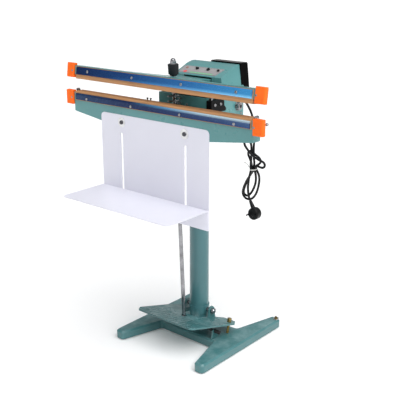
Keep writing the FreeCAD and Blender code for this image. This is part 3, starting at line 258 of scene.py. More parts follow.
    def bump(self, height, depth, strength=0.5, normal=None):
        """Relief from a height, with its depth in metres."""
        node = self.tree.nodes.new("ShaderNodeBump")
        self.put(node.inputs["Height"], height)
        node.inputs["Distance"].default_value = depth
        node.inputs["Strength"].default_value = strength
        if normal is not None:
            self.put(node.inputs["Normal"], normal)
        self.put(self.shader.inputs["Normal"], node.outputs["Normal"])
        return node.outputs["Normal"]


# ---- materials ----
SHEET_TEAL = (0.082, 0.256, 0.260, 1.0)
CAST_TEAL = (0.052, 0.172, 0.180, 1.0)
COLUMN_TEAL = (0.052, 0.170, 0.186, 1.0)


def enamel(name, teal, peel_scale, peel_depth, gloss, dust, treaded=False):
    """Teal stove enamel with orange peel, uneven tone, worn edges, a little dust and dirt in a tread."""
    look = Look(name)
    tone = look.ramp(look.noise(7, 4), [(0.3, scaled(teal, 0.90)), (0.7, scaled(teal, 1.08))])
    speckle = look.span(look.noise(900, 2), 0.42, 0.60)
    body = look.mix(look.math("MULTIPLY", speckle, 0.12), tone, scaled(teal, 1.5))
    worn = look.math("MULTIPLY", look.edge_wear(0.0012), look.span(look.noise(60, 3), 0.4, 0.62))
    body = look.mix(look.math("MULTIPLY", worn, 0.45), body, scaled(teal, 1.7))
    settled = look.math("MULTIPLY", look.facing_up(), look.span(look.noise(24, 5, 0.65), 0.40, 0.75))
    body = look.mix(look.math("MULTIPLY", settled, dust), body, (0.24, 0.37, 0.38, 1.0))
    if treaded:
        body = look.mix(look.math("MULTIPLY", look.tread(), 0.6), body, scaled(teal, 0.35))
    look.set(Base_Color=body, Roughness=look.span(look.noise(35, 3), 0.3, 0.7, gloss, gloss + 0.12))
    look.set(Coat_Weight=0.35, Coat_Roughness=0.12, Specular_IOR_Level=0.5)
    look.bump(look.noise(peel_scale, 2), peel_depth, 0.35, look.soft_edges(0.0009))
    return look.material


def metal(name, rgba, rough, grain=(1, 1, 1), grain_scale=300, tarnish=0.12, edge=0.0003):
    """Bare or plated metal with drawn grain and slightly uneven tarnish."""
    look = Look(name)
    lines = look.noise(grain_scale, 3, 0.6, look.stretch(*grain))
    stain = look.noise(45, 4, 0.6)
    look.set(Metallic=1.0)
    look.set(Base_Color=look.ramp(stain, [(0.3, scaled(rgba, 1 - tarnish)), (0.65, rgba)]))
    look.set(Roughness=look.span(lines, 0.3, 0.7, rough * 0.8, rough * 1.3))
    look.bump(lines, 0.00008, 0.25, look.soft_edges(edge))
    return look.material


def plastic(name, rgba, rough, gloss=0.3, grain=700, depth=0.00006, vary=0.15, edge=0.0006):
    """Moulded plastic or rubber with a fine texture."""
    look = Look(name)
    tone = look.ramp(look.noise(40, 3), [(0.3, scaled(rgba, 1 - vary)), (0.7, scaled(rgba, 1 + vary))])
    look.set(Base_Color=tone, Roughness=look.span(look.noise(90, 3), 0.3, 0.7, rough - 0.05, rough + 0.08))
    look.set(Specular_IOR_Level=gloss)
    look.bump(look.noise(grain, 3), depth, 0.4, look.soft_edges(edge))
    return look.material


def film(name, along, across, painted_highlight_colours):
    """Blue mirror film on an aluminium strip, with painted reflection: a painted reflection gradient along
    the strip and a painted highlight band near one edge.
    """
    look = Look(name)
    place = look.span(look.axis(0), -0.325, 0.325)
    # painted reflection: the colour brightens along the strip the way the film's reflection does
    body = look.ramp(place, along)
    low, high = across
    # painted highlight: a white band near one edge across the strip, tinted by a second colour list along
    # the strip and added on top
    height = look.span(look.axis(2), low, high)
    band = look.ramp(height, [(0.0, (0, 0, 0, 1)), (0.62, (0.04, 0.04, 0.04, 1)), (0.93, (1, 1, 1, 1))])
    painted_highlight = look.ramp(place, painted_highlight_colours)
    body = look.mix(1.0, body, look.mix(1.0, painted_highlight, band, "MULTIPLY"), "ADD")
    streak = look.noise(30, 4, 0.6, look.stretch(6, 1, 30))
    body = look.mix(look.span(streak, 0.5, 0.8, 0.0, 0.15), body, (0.12, 0.28, 0.52, 1.0))
    look.set(Base_Color=body, Metallic=0.25, Specular_IOR_Level=0.12)
    look.set(Roughness=look.span(streak, 0.3, 0.7, 0.20, 0.30), Coat_Weight=0.06, Coat_Roughness=0.08)
    look.bump(look.noise(90, 3, 0.5, look.stretch(0.2, 1, 1)), 0.0001, 0.2, look.soft_edges(0.0004))
    return look.material


def cloth(name, base):
    """Tan non-stick glass cloth: fine weave, long rubbed streaks and brown scorch marks."""
    look = Look(name)
    streaks = look.noise(60, 5, 0.65, look.stretch(0.12, 4, 4))
    tone = look.ramp(streaks, [(0.25, scaled(base, 0.72)), (0.5, base), (0.8, scaled(base, 1.25))])
    scorch = look.span(look.noise(16, 4, 0.6, look.stretch(0.6, 2, 2)), 0.56, 0.74)
    tone = look.mix(look.math("MULTIPLY", scorch, 0.4), tone, (0.20, 0.10, 0.05, 1.0))
    warp = look.wave(420, "X", distort=0.3)
    weft = look.wave(420, "DIAGONAL", look.stretch(0, 1, 1), distort=0.3)
    weave = look.math("MAXIMUM", warp, weft)
    tone = look.mix(look.span(weave, 0.2, 1.0, 0.12, 0.0), tone, (0.10, 0.06, 0.03, 1.0))
    look.set(Base_Color=tone, Roughness=look.span(streaks, 0.3, 0.7, 0.52, 0.64))
    look.set(Specular_IOR_Level=0.10)
    look.bump(look.math("ADD", weave, look.math("MULTIPLY", streaks, 2.0)), 0.00018, 0.4)
    return look.material


def powder_white():
    """White powder coat with fine orange peel and faint scuffs."""
    look = Look("white_powder_coat")
    tone = look.ramp(look.noise(5, 3), [(0.3, (0.715, 0.715, 0.795, 1)), (0.7, (0.745, 0.745, 0.825, 1))])
    scuff = look.span(look.noise(40, 6, 0.7, look.stretch(0.3, 1, 1.6)), 0.66, 0.80)
    tone = look.mix(look.math("MULTIPLY", scuff, 0.25), tone, (0.55, 0.55, 0.60, 1.0))
    worn = look.math("MULTIPLY", look.edge_wear(0.0006), look.span(look.noise(80, 3), 0.45, 0.6))
    tone = look.mix(look.math("MULTIPLY", worn, 0.4), tone, (0.50, 0.50, 0.54, 1.0))
    look.set(Base_Color=tone, Roughness=look.span(look.noise(30, 3), 0.3, 0.7, 0.34, 0.46))
    look.set(Coat_Weight=0.1, Coat_Roughness=0.25)
    look.bump(look.noise(650, 2), 0.00012, 0.3, look.soft_edges(0.0005))
    return look.material


def cover_black():
    """Black enamel with a thin layer of pale dust on what looks up."""
    look = Look("black_enamel")
    settled = look.math("MULTIPLY", look.facing_up(), look.span(look.noise(30, 5, 0.6), 0.3, 0.7, 0.5, 1.0))
    look.set(Base_Color=look.mix(settled, (0.001, 0.001, 0.001, 1.0), (0.15, 0.15, 0.15, 1.0)))
    look.set(Roughness=look.span(look.noise(60, 3), 0.3, 0.7, 0.42, 0.52), Specular_IOR_Level=0.03)
    look.bump(look.noise(500, 3), 0.00005, 0.4, look.soft_edges(0.0012))
    return look.material


def washered():
    """Dark screw head proud of a bright zinc washer."""
    look = Look("screw_and_washer")
    head = look.span(look.axis(1), WASHER_FRONT, WASHER_FRONT - 0.00006)
    stain = look.noise(45, 4, 0.6)
    zinc = look.ramp(stain, [(0.3, (0.62, 0.62, 0.63, 1)), (0.65, (0.86, 0.86, 0.87, 1))])
    look.set(Base_Color=look.mix(head, zinc, (0.10, 0.10, 0.11, 1)), Metallic=1.0)
    look.set(Roughness=look.span(stain, 0.3, 0.7, 0.24, 0.36))
    look.bump(look.noise(300, 3), 0.00008, 0.25, look.soft_edges(0.0003))
    return look.material


def ringed(name, axes, centre, radii, inner, outer):
    """Metal whose middle differs from its rim, as a stud in its nut and washer does."""
    look = Look(name)
    stain = look.noise(220, 4, 0.6)
    middle = look.disc(axes, centre, radii)
    rim = look.ramp(stain, [(0.35, scaled(outer, 0.45)), (0.6, outer)])
    look.set(Base_Color=look.mix(middle, rim, inner), Metallic=1.0)
    look.set(Roughness=look.span(stain, 0.3, 0.7, 0.20, 0.34))
    look.bump(stain, 0.00008, 0.25, look.soft_edges(0.0003))
    return look.material


def laminations():
    """Varnished transformer iron: stacked sheets and brown rust patches."""
    look = Look("transformer_laminations")
    sheets = look.wave(300, "Y", distort=0.4)
    tone = look.ramp(sheets, [(0.2, (0.02, 0.02, 0.022, 1)), (0.8, (0.11, 0.10, 0.09, 1))])
    rust = look.span(look.noise(90, 4), 0.58, 0.75)
    tone = look.mix(look.math("MULTIPLY", rust, 0.5), tone, (0.16, 0.07, 0.03, 1.0))
    look.set(Base_Color=tone, Roughness=0.55, Metallic=0.4, Coat_Weight=0.2, Coat_Roughness=0.35)
    look.bump(sheets, 0.0003, 0.5)
    return look.material


def circuit_board():
    """Green solder mask with tracks and pads."""
    look = Look("circuit_board")
    brick = look.tree.nodes.new("ShaderNodeTexBrick")
    look.put(brick.inputs["Vector"], look.stretch(1, 1, 0))
    brick.inputs["Scale"].default_value = 130
    brick.inputs["Mortar Size"].default_value = 0.03
    brick.inputs["Color1"].default_value = (0.015, 0.12, 0.045, 1)
    brick.inputs["Color2"].default_value = (0.02, 0.15, 0.055, 1)
    brick.inputs["Mortar"].default_value = (0.05, 0.28, 0.10, 1)
    pads = look.tree.nodes.new("ShaderNodeTexVoronoi")
    look.put(pads.inputs["Vector"], look.place)
    pads.inputs["Scale"].default_value = 220
    tin = look.span(pads.outputs["Distance"], 0.22, 0.16)
    look.set(Base_Color=look.mix(tin, brick.outputs["Color"], (0.6, 0.6, 0.58, 1)), Metallic=tin)
    look.set(Roughness=0.35, Coat_Weight=0.4, Coat_Roughness=0.15)
    look.bump(tin, 0.0003, 0.5)
    return look.material


def panel_face():
    """Brushed grey overlay with small flecks."""
    look = Look("panel_overlay")
    brushed = look.noise(120, 4, 0.6, look.stretch(0.2, 3, 3))
    base = colour(158, 156, 158)
    tone = look.ramp(brushed, [(0.3, scaled(base, 0.88)), (0.7, scaled(base, 1.12))])
    fleck = look.span(look.noise(1400, 2), 0.66, 0.72)
    tone = look.mix(look.math("MULTIPLY", fleck, 0.4), tone, (0.75, 0.75, 0.76, 1))
    look.set(Base_Color=tone, Roughness=look.span(brushed, 0.3, 0.7, 0.30, 0.42), Metallic=0.15)
    look.set(Coat_Weight=0.3, Coat_Roughness=0.2)
    look.bump(brushed, 0.00005, 0.3, look.soft_edges(0.0004))
    return look.material


def ink(name, rgba):
    """Screen-printed ink, slightly uneven."""
    look = Look(name)
    cover = look.noise(800, 3)
    look.set(Base_Color=look.ramp(cover, [(0.3, scaled(rgba, 0.86)), (0.7, scaled(rgba, 1.12))]))
    look.set(Roughness=look.span(cover, 0.3, 0.7, 0.38, 0.5), Coat_Weight=0.2, Coat_Roughness=0.2)
    look.bump(cover, 0.00003, 0.3)
    return look.material


def lens():
    """Tinted lamp lens with a ribbed face."""
    look = Look("lamp_lens")
    rings = look.wave(500, "X", distort=0.2)
    look.set(Base_Color=look.ramp(rings, [(0.2, (0.34, 0.15, 0.12, 1)), (0.8, (0.52, 0.32, 0.27, 1))]))
    look.set(Roughness=0.12, Transmission_Weight=0.25, IOR=1.49, Coat_Weight=0.6, Coat_Roughness=0.05)
    look.bump(rings, 0.0002, 0.4, look.soft_edges(0.0005))
    return look.material


def spring_wire():
    """Oiled spring steel with a dark skin and bright rubbed spots."""
    look = Look("spring_wire")
    rub = look.span(look.noise(150, 4), 0.45, 0.7)
    look.set(Base_Color=look.mix(rub, (0.16, 0.16, 0.17, 1), (0.50, 0.50, 0.52, 1)), Metallic=1.0)
    look.set(Roughness=look.span(rub, 0, 1, 0.42, 0.22))
    look.bump(look.noise(600, 2), 0.00006, 0.3)
    return look.material


def floor_face():
    """Pale matt studio paper."""
    look = Look("studio_paper")
    tone = look.ramp(look.noise(3, 2), [(0.2, (0.93, 0.93, 0.93, 1)), (0.8, (0.95, 0.95, 0.95, 1))])
    look.set(Base_Color=tone, Roughness=0.9, Specular_IOR_Level=0.2)
    look.set(Emission_Color=(1, 1, 1, 1), Emission_Strength=0.06)
    return look.material


def dress():
    """Gives each CAD node its material."""
    sheet = enamel("enamel_sheet", SHEET_TEAL, peel_scale=420, peel_depth=0.0001, gloss=0.26, dust=0.16)
    cast = enamel("enamel_cast", CAST_TEAL, peel_scale=300, peel_depth=0.0003, gloss=0.28, dust=0.75)
    tube = enamel("enamel_column", COLUMN_TEAL, peel_scale=420, peel_depth=0.0001, gloss=0.28, dust=0.05)
    tread = enamel(
        "enamel_pedal", CAST_TEAL, peel_scale=300, peel_depth=0.0003, gloss=0.24, dust=1.0, treaded=True
    )
    zinc = metal("zinc_plate", (0.40, 0.40, 0.41, 1), 0.28, tarnish=0.3)
    chrome = metal("chrome_plate", (0.36, 0.36, 0.375, 1), 0.14, (1, 1, 0.03), 320, tarnish=0.5)
    brass = metal("passivated_brass", (0.40, 0.29, 0.10, 1), 0.34, tarnish=0.65)
    hinge_nut = ringed(
        "hinge_nut", axes=(1, 2), centre=ARM_HINGE, radii=(0.0045, 0.0060),
        inner=(0.035, 0.035, 0.038, 1), outer=(0.40, 0.40, 0.41, 1),
    )
    stud = ringed(
        "stud_and_washer", axes=(0, 1), centre=EARTH_STUD, radii=(0.0050, 0.0058),
        inner=(0.20, 0.14, 0.05, 1), outer=(0.95, 0.95, 0.95, 1),
    )
    bare_steel = metal("bare_bar", (0.42, 0.42, 0.43, 1), 0.36, (0.05, 1, 1), 300)
    band = metal("nichrome_band", (0.50, 0.47, 0.43, 1), 0.34, (0.05, 1, 1), 400)
    rubber = plastic("foot_rubber", (0.022, 0.022, 0.023, 1), 0.62)
    black = plastic("black_moulding", (0.010, 0.011, 0.013, 1), 0.36, 0.30)
    switch_black = plastic("switch_phenolic", (0.004, 0.004, 0.005, 1), 0.46, 0.12, 500)
    cord_skin = plastic("cord_pvc", (0.004, 0.004, 0.005, 1), 0.34, 0.22, 900)
    tie_skin = plastic("tie_coating", (0.66, 0.66, 0.63, 1), 0.40)
    orange = plastic("orange_moulding", (1.0, 0.158, 0.018, 1), 0.50, 0.12, 500, vary=0.05, edge=0.0012)
    white = powder_white()
    # painted reflection on both strips: first the painted reflection gradient along the strip, then the two
    # heights between which the painted highlight band lies, brightest towards the second, then the painted
    # highlight's colours along the strip
    navy_film = film(
        "film_lower",
        [
            (0.0, colour(40, 62, 96)), (0.45, colour(28, 40, 80)),
            (0.8, colour(32, 56, 102)), (1.0, colour(50, 78, 124)),
        ],
        (0.7465, 0.766),
        [
            (0.35, (0, 0, 0, 1)), (0.55, (0.10, 0.30, 0.48, 1)),
            (0.75, (0.50, 0.68, 0.72, 1)), (1.0, (0.55, 0.66, 0.60, 1)),
        ],
    )
    blue_film = film(
        "film_upper",
        [
            (0.0, colour(10, 34, 78)), (0.35, colour(30, 70, 126)),
            (0.65, colour(46, 108, 170)), (1.0, colour(64, 150, 210)),
        ],
        (0.8436, 0.8212),
        [
            (0.2, (0, 0, 0, 1)), (0.5, (0.04, 0.14, 0.24, 1)),
            (0.8, (0.16, 0.34, 0.42, 1)), (1.0, (0.25, 0.45, 0.50, 1)),
        ],
    )
    looks = {
        sheet: ("head_body", "hood", "upper_arm", "upper_jaw_channel", "lower_beam"),
        tube: ("column",),
        cast: ("base_frame", "column_flange", "head_gusset", "pedal_stop_brackets"),
        tread: ("pedal",),
        zinc: (
            "arm_bolts", "element_tensioners", "feed_terminals", "head_bolts", "head_screws",
            "lower_jaw_screws", "upper_jaw_screws", "micro_switch_lever", "shelf_clamps",
        ),
        chrome: ("pull_rod", "rod_nuts", "pedal_pivot_bolt"),
        hinge_nut: ("hinge_axle",),
        stud: ("earth_stud",),
        washered(): ("shelf_screws",),
        brass: ("pedal_adjusting_bolt",),
        bare_steel: ("lower_jaw_bar", "upper_jaw_bar"),
        band: ("heating_element",),
        rubber: ("rubber_feet", "pedal_stop_bar"),
        black: ("fuse_holder", "knob_body", "timer_knob_left", "timer_knob_right"),
        switch_black: ("micro_switch",),
        cover_black(): ("rear_cover",),
        cord_skin: ("cord", "cord_gland", "cord_hank", "plug"),
        tie_skin: ("cord_tie",),
        orange: ("lower_cap_left", "lower_cap_right", "upper_cap_left", "upper_cap_right"),
        white: ("shelf_back_plate", "shelf_tray"),
        navy_film: ("lower_clamp_strip",),
        blue_film: ("upper_clamp_strip",),
        cloth("cloth_lower", (0.50, 0.265, 0.125, 1)): ("lower_ptfe_cloth",),
        cloth("cloth_upper", (0.52, 0.270, 0.130, 1)): ("upper_ptfe_cloth",),
        cloth("glass_tape", (0.62, 0.58, 0.48, 1)): ("lower_insulation",),
        plastic("silicone_pad", (0.30, 0.14, 0.07, 1), 0.55): ("upper_pressure_pad",),
        laminations(): ("transformer",),
        circuit_board(): ("control_board",),
        panel_face(): ("control_panel",),
        lens(): ("pilot_lamp",),
        spring_wire(): ("return_spring",),
    }
    dressed = set()
    for material, names in looks.items():
        for name in names:
            node = NODES[name]
            if not node.material_slots:
                node.data.materials.append(material)
            for slot in node.material_slots:
                slot.material = material
            dressed.add(name)
    left_out = sorted(set(NODES) - dressed)
    if left_out:
        raise RuntimeError(f"nodes with no material: {left_out}")
    return cord_skin, tie_skin


CORD_SKIN, TIE_SKIN = dress()


# ---- mesh helpers ----
def piece(name, build, material, body):
    """Object from a bmesh builder, riding on a body."""
    mesh = bpy.data.meshes.new(name)
    work = bmesh.new()
    build(work)
    bmesh.ops.recalc_face_normals(work, faces=work.faces)
    work.to_mesh(mesh)
    work.free()
    return finished(bpy.data.objects.new(name, mesh), material, body)


def finished(item, material, body):
    """Links a piece, gives it its material and slot, and makes it ride."""
    bpy.context.scene.collection.objects.link(item)
    item.data.materials.clear()
    item.data.materials.append(material)
    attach(item, body)
    return item


def spline_curve(name, points, radius):
    """Bevelled curve of one open NURBS spline through control points in millimetres."""
    data = bpy.data.curves.new(name, "CURVE")
    data.dimensions = "3D"
    data.resolution_u = 8
    data.bevel_depth = radius
    data.bevel_resolution = 6
    data.use_fill_caps = True
    spline = data.splines.new("NURBS")
    spline.points.add(len(points) - 1)
    for control, (x, y, z) in zip(spline.points, points):
        control.co = (x * MM, y * MM, z * MM, 1.0)
    spline.order_u = 3
    spline.use_endpoint_u = True
    return bpy.data.objects.new(name, data)


def centreline(item):
    """Points along a curve's own line, in metres."""
    bare = item.copy()
    bare.data = item.data.copy()
    bare.data.bevel_depth = 0.0
    bpy.context.scene.collection.objects.link(bare)
    bpy.context.view_layer.update()
    mesh = bpy.data.meshes.new_from_object(bare.evaluated_get(bpy.context.evaluated_depsgraph_get()))
    line = [v.co.copy() for v in mesh.vertices]
    bpy.data.objects.remove(bare)
    return line


def rings_along(work, line, radii, sides=24):
    """Tube of given radii along points, closed at both ends."""
    turn = None
    rings = []
    for index, (here, radius) in enumerate(zip(line, radii)):
        ahead = line[min(index + 1, len(line) - 1)] - line[max(index - 1, 0)]
        ahead.normalize()
        if turn is None:
            turn = ahead.orthogonal().normalized()
        turn = (turn - ahead * turn.dot(ahead)).normalized()
        across = ahead.cross(turn)
        ring = []
        for side in range(sides):
            angle = 2 * math.pi * side / sides
            ring.append(work.verts.new(here + radius * (math.cos(angle) * turn + math.sin(angle) * across)))
        rings.append(ring)
    for previous, ring in zip(rings, rings[1:]):
        for side in range(sides):
            after = (side + 1) % sides
            face = work.faces.new((previous[side], previous[after], ring[after], ring[side]))
            face.smooth = True
    work.faces.new(rings[0])
    work.faces.new(rings[-1])


# ---- mains cord ----
# Control points in millimetres.  At the tie, Z 537, five strands pass in rows of two, two and one.
CORD_ROUTE = [
    (55, 185, 750), (55, 204, 750), (55.5, 223, 741.5), (58, 237.5, 725), (67, 243.5, 704),
    (79, 240, 681), (93, 226, 656), (103, 214, 632), (106, 208, 612),
]
FIRST_DROP = [(106.5, 207, 590), (106.3, 209, 571), (105.6, 213.8, 555)]
BIG_LOOP = [
    (103.4, 214.5, 537), (98, 216, 526), (88, 217, 512), (77, 217.5, 497), (68, 218, 480),
    (61, 218, 463), (59, 218, 447), (67, 218, 436), (81, 218, 432), (96, 218, 437),
    (108, 217.5, 450), (117, 217, 469), (122, 216.5, 489), (124.5, 216, 508), (121, 215, 524),
    (110.8, 214.5, 537),
]
SMALL_BIGHT = [
    (111.5, 214.5, 547), (120, 214.5, 552.5), (128, 214.5, 559), (128, 214.5, 569), (119, 214.5, 576),
    (106, 214.5, 582), (95, 214.5, 589), (84, 214.5, 590), (79.5, 214.5, 581), (85, 213.5, 571),
    (93, 210.5, 562), (99.5, 207.6, 552),
]
INNER_LOOP = [
    (103.2, 207, 537), (98.5, 207.5, 525), (90, 208, 509), (81, 208.5, 491), (73, 208.5, 472),
    (69.5, 208.5, 457), (74, 209, 449), (85, 209, 446.5), (96, 209, 455), (105, 208.5, 468),
    (112, 208.5, 483), (117, 208, 501), (116.5, 207.5, 520),
]
SIDE_BIGHT = [
    (110.4, 207, 536), (112.5, 205, 546), (122, 203, 551), (135, 201, 549.5), (147, 199.5, 549),
    (155, 199, 555), (153.5, 199, 565), (143, 199, 569.5), (128, 199, 573), (112, 199, 580),
    (97, 199, 590), (85, 199, 601), (76.5, 199.5, 611), (75.5, 201, 621), (82, 203.5, 628.5),
    (92, 205.8, 625), (98, 206.8, 610),
]
LAST_DROP = [(98.8, 206.6, 588), (98.8, 205.5, 570), (100.5, 201.2, 554)]
TO_PLUG = [
    (103.4, 199.6, 537), (99.5, 200, 522), (95, 200, 502), (92.5, 200, 480), (93.5, 200.5, 462),
    (96, 201, 448), (98.5, 204, 438), (99.7, 206.7, 430),
]


def make_cord():
    """The whole lead from the gland through the tied hank to the plug."""
    route = CORD_ROUTE + FIRST_DROP + BIG_LOOP + SMALL_BIGHT + INNER_LOOP + SIDE_BIGHT + LAST_DROP + TO_PLUG
    lead = spline_curve("mains_lead", route, CORD_DIAMETER / 2)
    finished(lead, CORD_SKIN, "root")
    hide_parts("cord", "cord_hank")
    return lead


def run_lengths(line):
    """Distance of each point from the first along the line."""
    total = [0.0]
    for a, b in zip(line, line[1:]):
        total.append(total[-1] + (b - a).length)
    return total


def point_at(line, total, distance):
    """Point of the line at a distance from its start."""
    for index in range(len(line) - 1):
        if total[index + 1] >= distance:
            share = (distance - total[index]) / max(total[index + 1] - total[index], 1e-9)
            return line[index].lerp(line[index + 1], share)
    return line[-1].copy()


def make_strain_relief(lead):
    """Tapered sleeve with grooves that the lead leaves the housing through."""
    line = centreline(lead)
    total = run_lengths(line)
    points = [point_at(line, total, RELIEF_LENGTH * i / RELIEF_STEPS) for i in range(RELIEF_STEPS + 1)]
    radii = []
    for i in range(RELIEF_STEPS + 1):
        share = i / RELIEF_STEPS
        groove = RELIEF_GROOVE if 6 < i < 56 and i % 8 in (0, 1, 2) else 0.0
        radii.append(RELIEF_RADIUS - RELIEF_TAPER * share - groove)
    radii[-1] -= 0.0004

    def build(work):
        rings_along(work, points, radii)

    return piece("lead_strain_relief", build, CORD_SKIN, "root")


def twisted_end(count, phase):
    """One of the two ends of the wire tie, winding about a slightly arched line, in millimetres."""
    start = Vector(TIE_TWIST_START)
    end = Vector(TIE_TWIST_END)
    points = []
    for step in range(count):
        share = step / TIE_TWIST_STEPS
        middle = start.lerp(end, share) + Vector((0, 0, 4.0 * math.sin(math.pi * share)))
        angle = share * 8 * math.pi + phase
        off = Vector((0.5 * math.cos(angle), 0.9 * math.sin(angle), 0.5 * math.cos(angle)))
        points.append(tuple(middle + off))
    return points


def make_tie():
    """Coated wire tie: two turns round the hank and a twisted pair of ends."""
    x, y, z = TIE_CENTRE
    turns = []
    for step in range(33):
        angle = math.radians(200 + step * 22.5)
        rise = -2.2 + 4.4 * step / 32
        turns.append((x + 8.9 * math.cos(angle), y + 12.6 * math.sin(angle), z + rise))
    loop = spline_curve("wire_tie", turns + twisted_end(TIE_TWIST_STEPS + 1, 0.0), TIE_RADIUS)
    finished(loop, TIE_SKIN, "root")
    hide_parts("cord_tie")
    other = spline_curve("wire_tie_end", twisted_end(15, math.pi), TIE_RADIUS)
    finished(other, TIE_SKIN, "root")
    return loop, other


LEAD = make_cord()
RELIEF = make_strain_relief(LEAD)
TIE, TIE_END = make_tie()


# ---- return spring ----
def make_spring():
    """Copy of the return spring, freed from its node with its properties cleared and its transform baked
    in, shown in place of the hidden node.
    """
    source = NODES["return_spring"]
    coil = source.copy()
    coil.data = source.data.copy()
    coil.name = "return_spring_coil"
    for key in list(coil.keys()):
        del coil[key]
    coil.parent = None
    bpy.context.scene.collection.objects.link(coil)
    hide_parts("return_spring")
    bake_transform(coil)


make_spring()


# ---- panel print ----
def on_slope(x, up, lift):
    """Point on the sloping panel face, from millimetres across, up the slope and off its face."""
    out = PANEL_FACE + lift
    y = PANEL_FOOT_Y + (up * math.cos(PANEL_TILT) - out * math.sin(PANEL_TILT)) * MM
    z = PANEL_FOOT_Z + (up * math.sin(PANEL_TILT) + out * math.cos(PANEL_TILT)) * MM
    return Vector((x * MM, y, z))


def printed(work, outline):
    """Thin raised patch of ink with the given outline."""
    low = [work.verts.new(on_slope(x, up, 0.0)) for x, up in outline]
    high = [work.verts.new(on_slope(x, up, INK_HEIGHT)) for x, up in outline]
    work.faces.new(high)
    work.faces.new(low[::-1])
    for i in range(len(outline)):
        after = (i + 1) % len(outline)
        work.faces.new((low[i], low[after], high[after], high[i]))


def rounded(x0, up0, x1, up1, radius):
    """Outline of a rectangle with round corners."""
    corners = [(x1 - radius, up1 - radius, 0), (x0 + radius, up1 - radius, 90),
               (x0 + radius, up0 + radius, 180), (x1 - radius, up0 + radius, 270)]
    outline = []
    for x, up, start in corners:
        for step in range(CORNER_STEPS + 1):
            angle = math.radians(start + 90 * step / CORNER_STEPS)
            outline.append((x + radius * math.cos(angle), up + radius * math.sin(angle)))
    return outline


def bar(x0, up0, x1, up1, width):
    """Outline of a thin bar between two points."""
    along = Vector((x1 - x0, up1 - up0)).normalized()
    side = Vector((-along.y, along.x)) * width / 2
    return [(x0 - side.x, up0 - side.y), (x1 - side.x, up1 - side.y),
            (x1 + side.x, up1 + side.y), (x0 + side.x, up0 + side.y)]


def red_marks(work):
    """Plain mark of three stacked bars, the middle one longer."""
    for index, half in enumerate((4.2, 7.4, 4.2)):
        centre = 13.0 + (index - 1) * 3.3
        printed(work, rounded(-57 - half, centre - 1.4, -57 + half, centre + 1.4, 0.9))


def green_band(work):
    """Plain band under the dials."""
    printed(work, rounded(-38, 8.6, 48, 13.8, 1.0))


def dial_marks(work):
    """Tick marks round the two dials, and the lines of the panel."""
    for x in TIMER_X:
        for step in range(11):
            angle = math.radians(DIAL_START - DIAL_STEP * step)
            inner = 6.9
            outer = 8.1 if step % 2 else 8.7
            printed(work, bar(
                x + inner * math.cos(angle), CONTROL_UP + inner * math.sin(angle) * 0.9,
                x + outer * math.cos(angle), CONTROL_UP + outer * math.sin(angle) * 0.9, 0.45,
            ))
    border = [(-77.6, 8.2), (58.4, 8.2), (69.2, 40.8), (-77.6, 40.8)]
    for (x0, up0), (x1, up1) in zip(border, border[1:] + border[:1]):
        printed(work, bar(x0, up0, x1, up1, 0.7))
    printed(work, bar(-38, 16.2, 48, 16.2, 0.4))
    printed(work, bar(-68.0, 22.0, -60.0, 22.0, 0.5))
    printed(work, bar(56, 22.0, 62.5, 22.0, 0.5))


def dial_numbers(material):
    """Numbers from 0 to 10 on the dials."""
    slope = Matrix.Rotation(PANEL_TILT, 4, "X")
    for dial, x in enumerate(TIMER_X):
        for step in range(0, 11, 2):
            angle = math.radians(DIAL_START - DIAL_STEP * step)
            data = bpy.data.curves.new("dial_number", "FONT")
            data.body = str(step)
            data.size = 0.0030
            data.extrude = 0.00003
            data.align_x = "CENTER"
            data.align_y = "CENTER"
            number = bpy.data.objects.new(f"dial_{dial}_number_{step}", data)
            place = on_slope(x + 11.4 * math.cos(angle), CONTROL_UP + 9.6 * math.sin(angle), 0.03)
            number.matrix_world = Matrix.Translation(place) @ slope
            finished(number, material, "root")


def make_panel_print():
    """All the print on the control panel."""
    red = ink("ink_red", (0.84, 0.03, 0.035, 1))
    green = ink("ink_green", (0.18, 0.48, 0.26, 1))
    dark = ink("ink_dark", (0.07, 0.07, 0.08, 1))
    piece("panel_red_marks", red_marks, red, "root")
    piece("panel_green_band", green_band, green, "root")
    piece("panel_dial_marks", dial_marks, dark, "root")
    dial_numbers(dark)


make_panel_print()


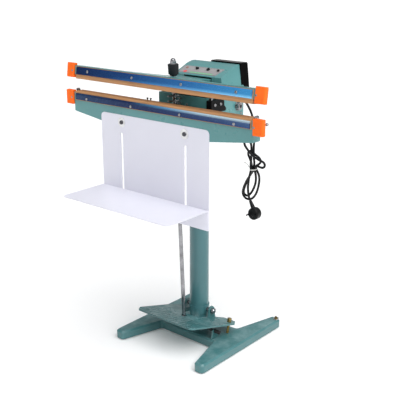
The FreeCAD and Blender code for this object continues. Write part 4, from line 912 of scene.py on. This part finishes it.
# ---- studio ----
def make_floor():
    """Large pale floor, which fills the view behind the object."""
    work = bmesh.new()
    bmesh.ops.create_grid(work, x_segments=8, y_segments=8, size=60)
    mesh = bpy.data.meshes.new("studio_floor")
    work.to_mesh(mesh)
    work.free()
    floor = bpy.data.objects.new("studio_floor", mesh)
    mesh.materials.append(floor_face())
    bpy.context.scene.collection.objects.link(floor)


def make_sky():
    """White surround, brighter above and towards the right."""
    world = bpy.data.worlds.new("studio")
    world.use_nodes = True
    bpy.context.scene.world = world
    tree = world.node_tree
    back = tree.nodes["Background"]
    place = tree.nodes.new("ShaderNodeTexCoord")
    dot = tree.nodes.new("ShaderNodeVectorMath")
    dot.operation = "DOT_PRODUCT"
    dot.inputs[1].default_value = (0.30, -0.15, 0.94)
    tree.links.new(place.outputs["Generated"], dot.inputs[0])
    ramp = tree.nodes.new("ShaderNodeMapRange")
    ramp.inputs["From Min"].default_value = -0.1
    ramp.inputs["From Max"].default_value = 1.0
    ramp.inputs["To Min"].default_value = 0.22
    ramp.inputs["To Max"].default_value = 0.62
    tree.links.new(dot.outputs["Value"], ramp.inputs["Value"])
    tree.links.new(ramp.outputs["Result"], back.inputs["Strength"])
    back.inputs["Color"].default_value = (0.98, 0.99, 1.0, 1.0)


def make_lamp(name, place, aim, size, power):
    """Soft box of a size and power, pointed at a place."""
    data = bpy.data.lights.new(name, "AREA")
    data.shape = "RECTANGLE"
    data.size, data.size_y = size
    data.energy = power
    lamp = bpy.data.objects.new(name, data)
    lamp.location = place
    lamp.rotation_euler = (Vector(aim) - Vector(place)).to_track_quat("-Z", "Y").to_euler()
    bpy.context.scene.collection.objects.link(lamp)


def make_sun(name, towards, strength, spread):
    """Even, very soft light from one direction."""
    data = bpy.data.lights.new(name, "SUN")
    data.energy = strength
    data.angle = math.radians(spread)
    lamp = bpy.data.objects.new(name, data)
    lamp.rotation_euler = Vector(towards).to_track_quat("Z", "Y").to_euler()
    bpy.context.scene.collection.objects.link(lamp)


def make_studio():
    """Floor, surround and lamps."""
    make_floor()
    make_sky()
    make_sun("top_light", (0.42, -0.24, 0.88), 2.45, 60)
    make_lamp("right_box", (1.9, 0.1, 1.7), (0, 0, 0.75), (0.9, 0.9), 9)
    bpy.context.scene.view_settings.view_transform = "Standard"


make_studio()
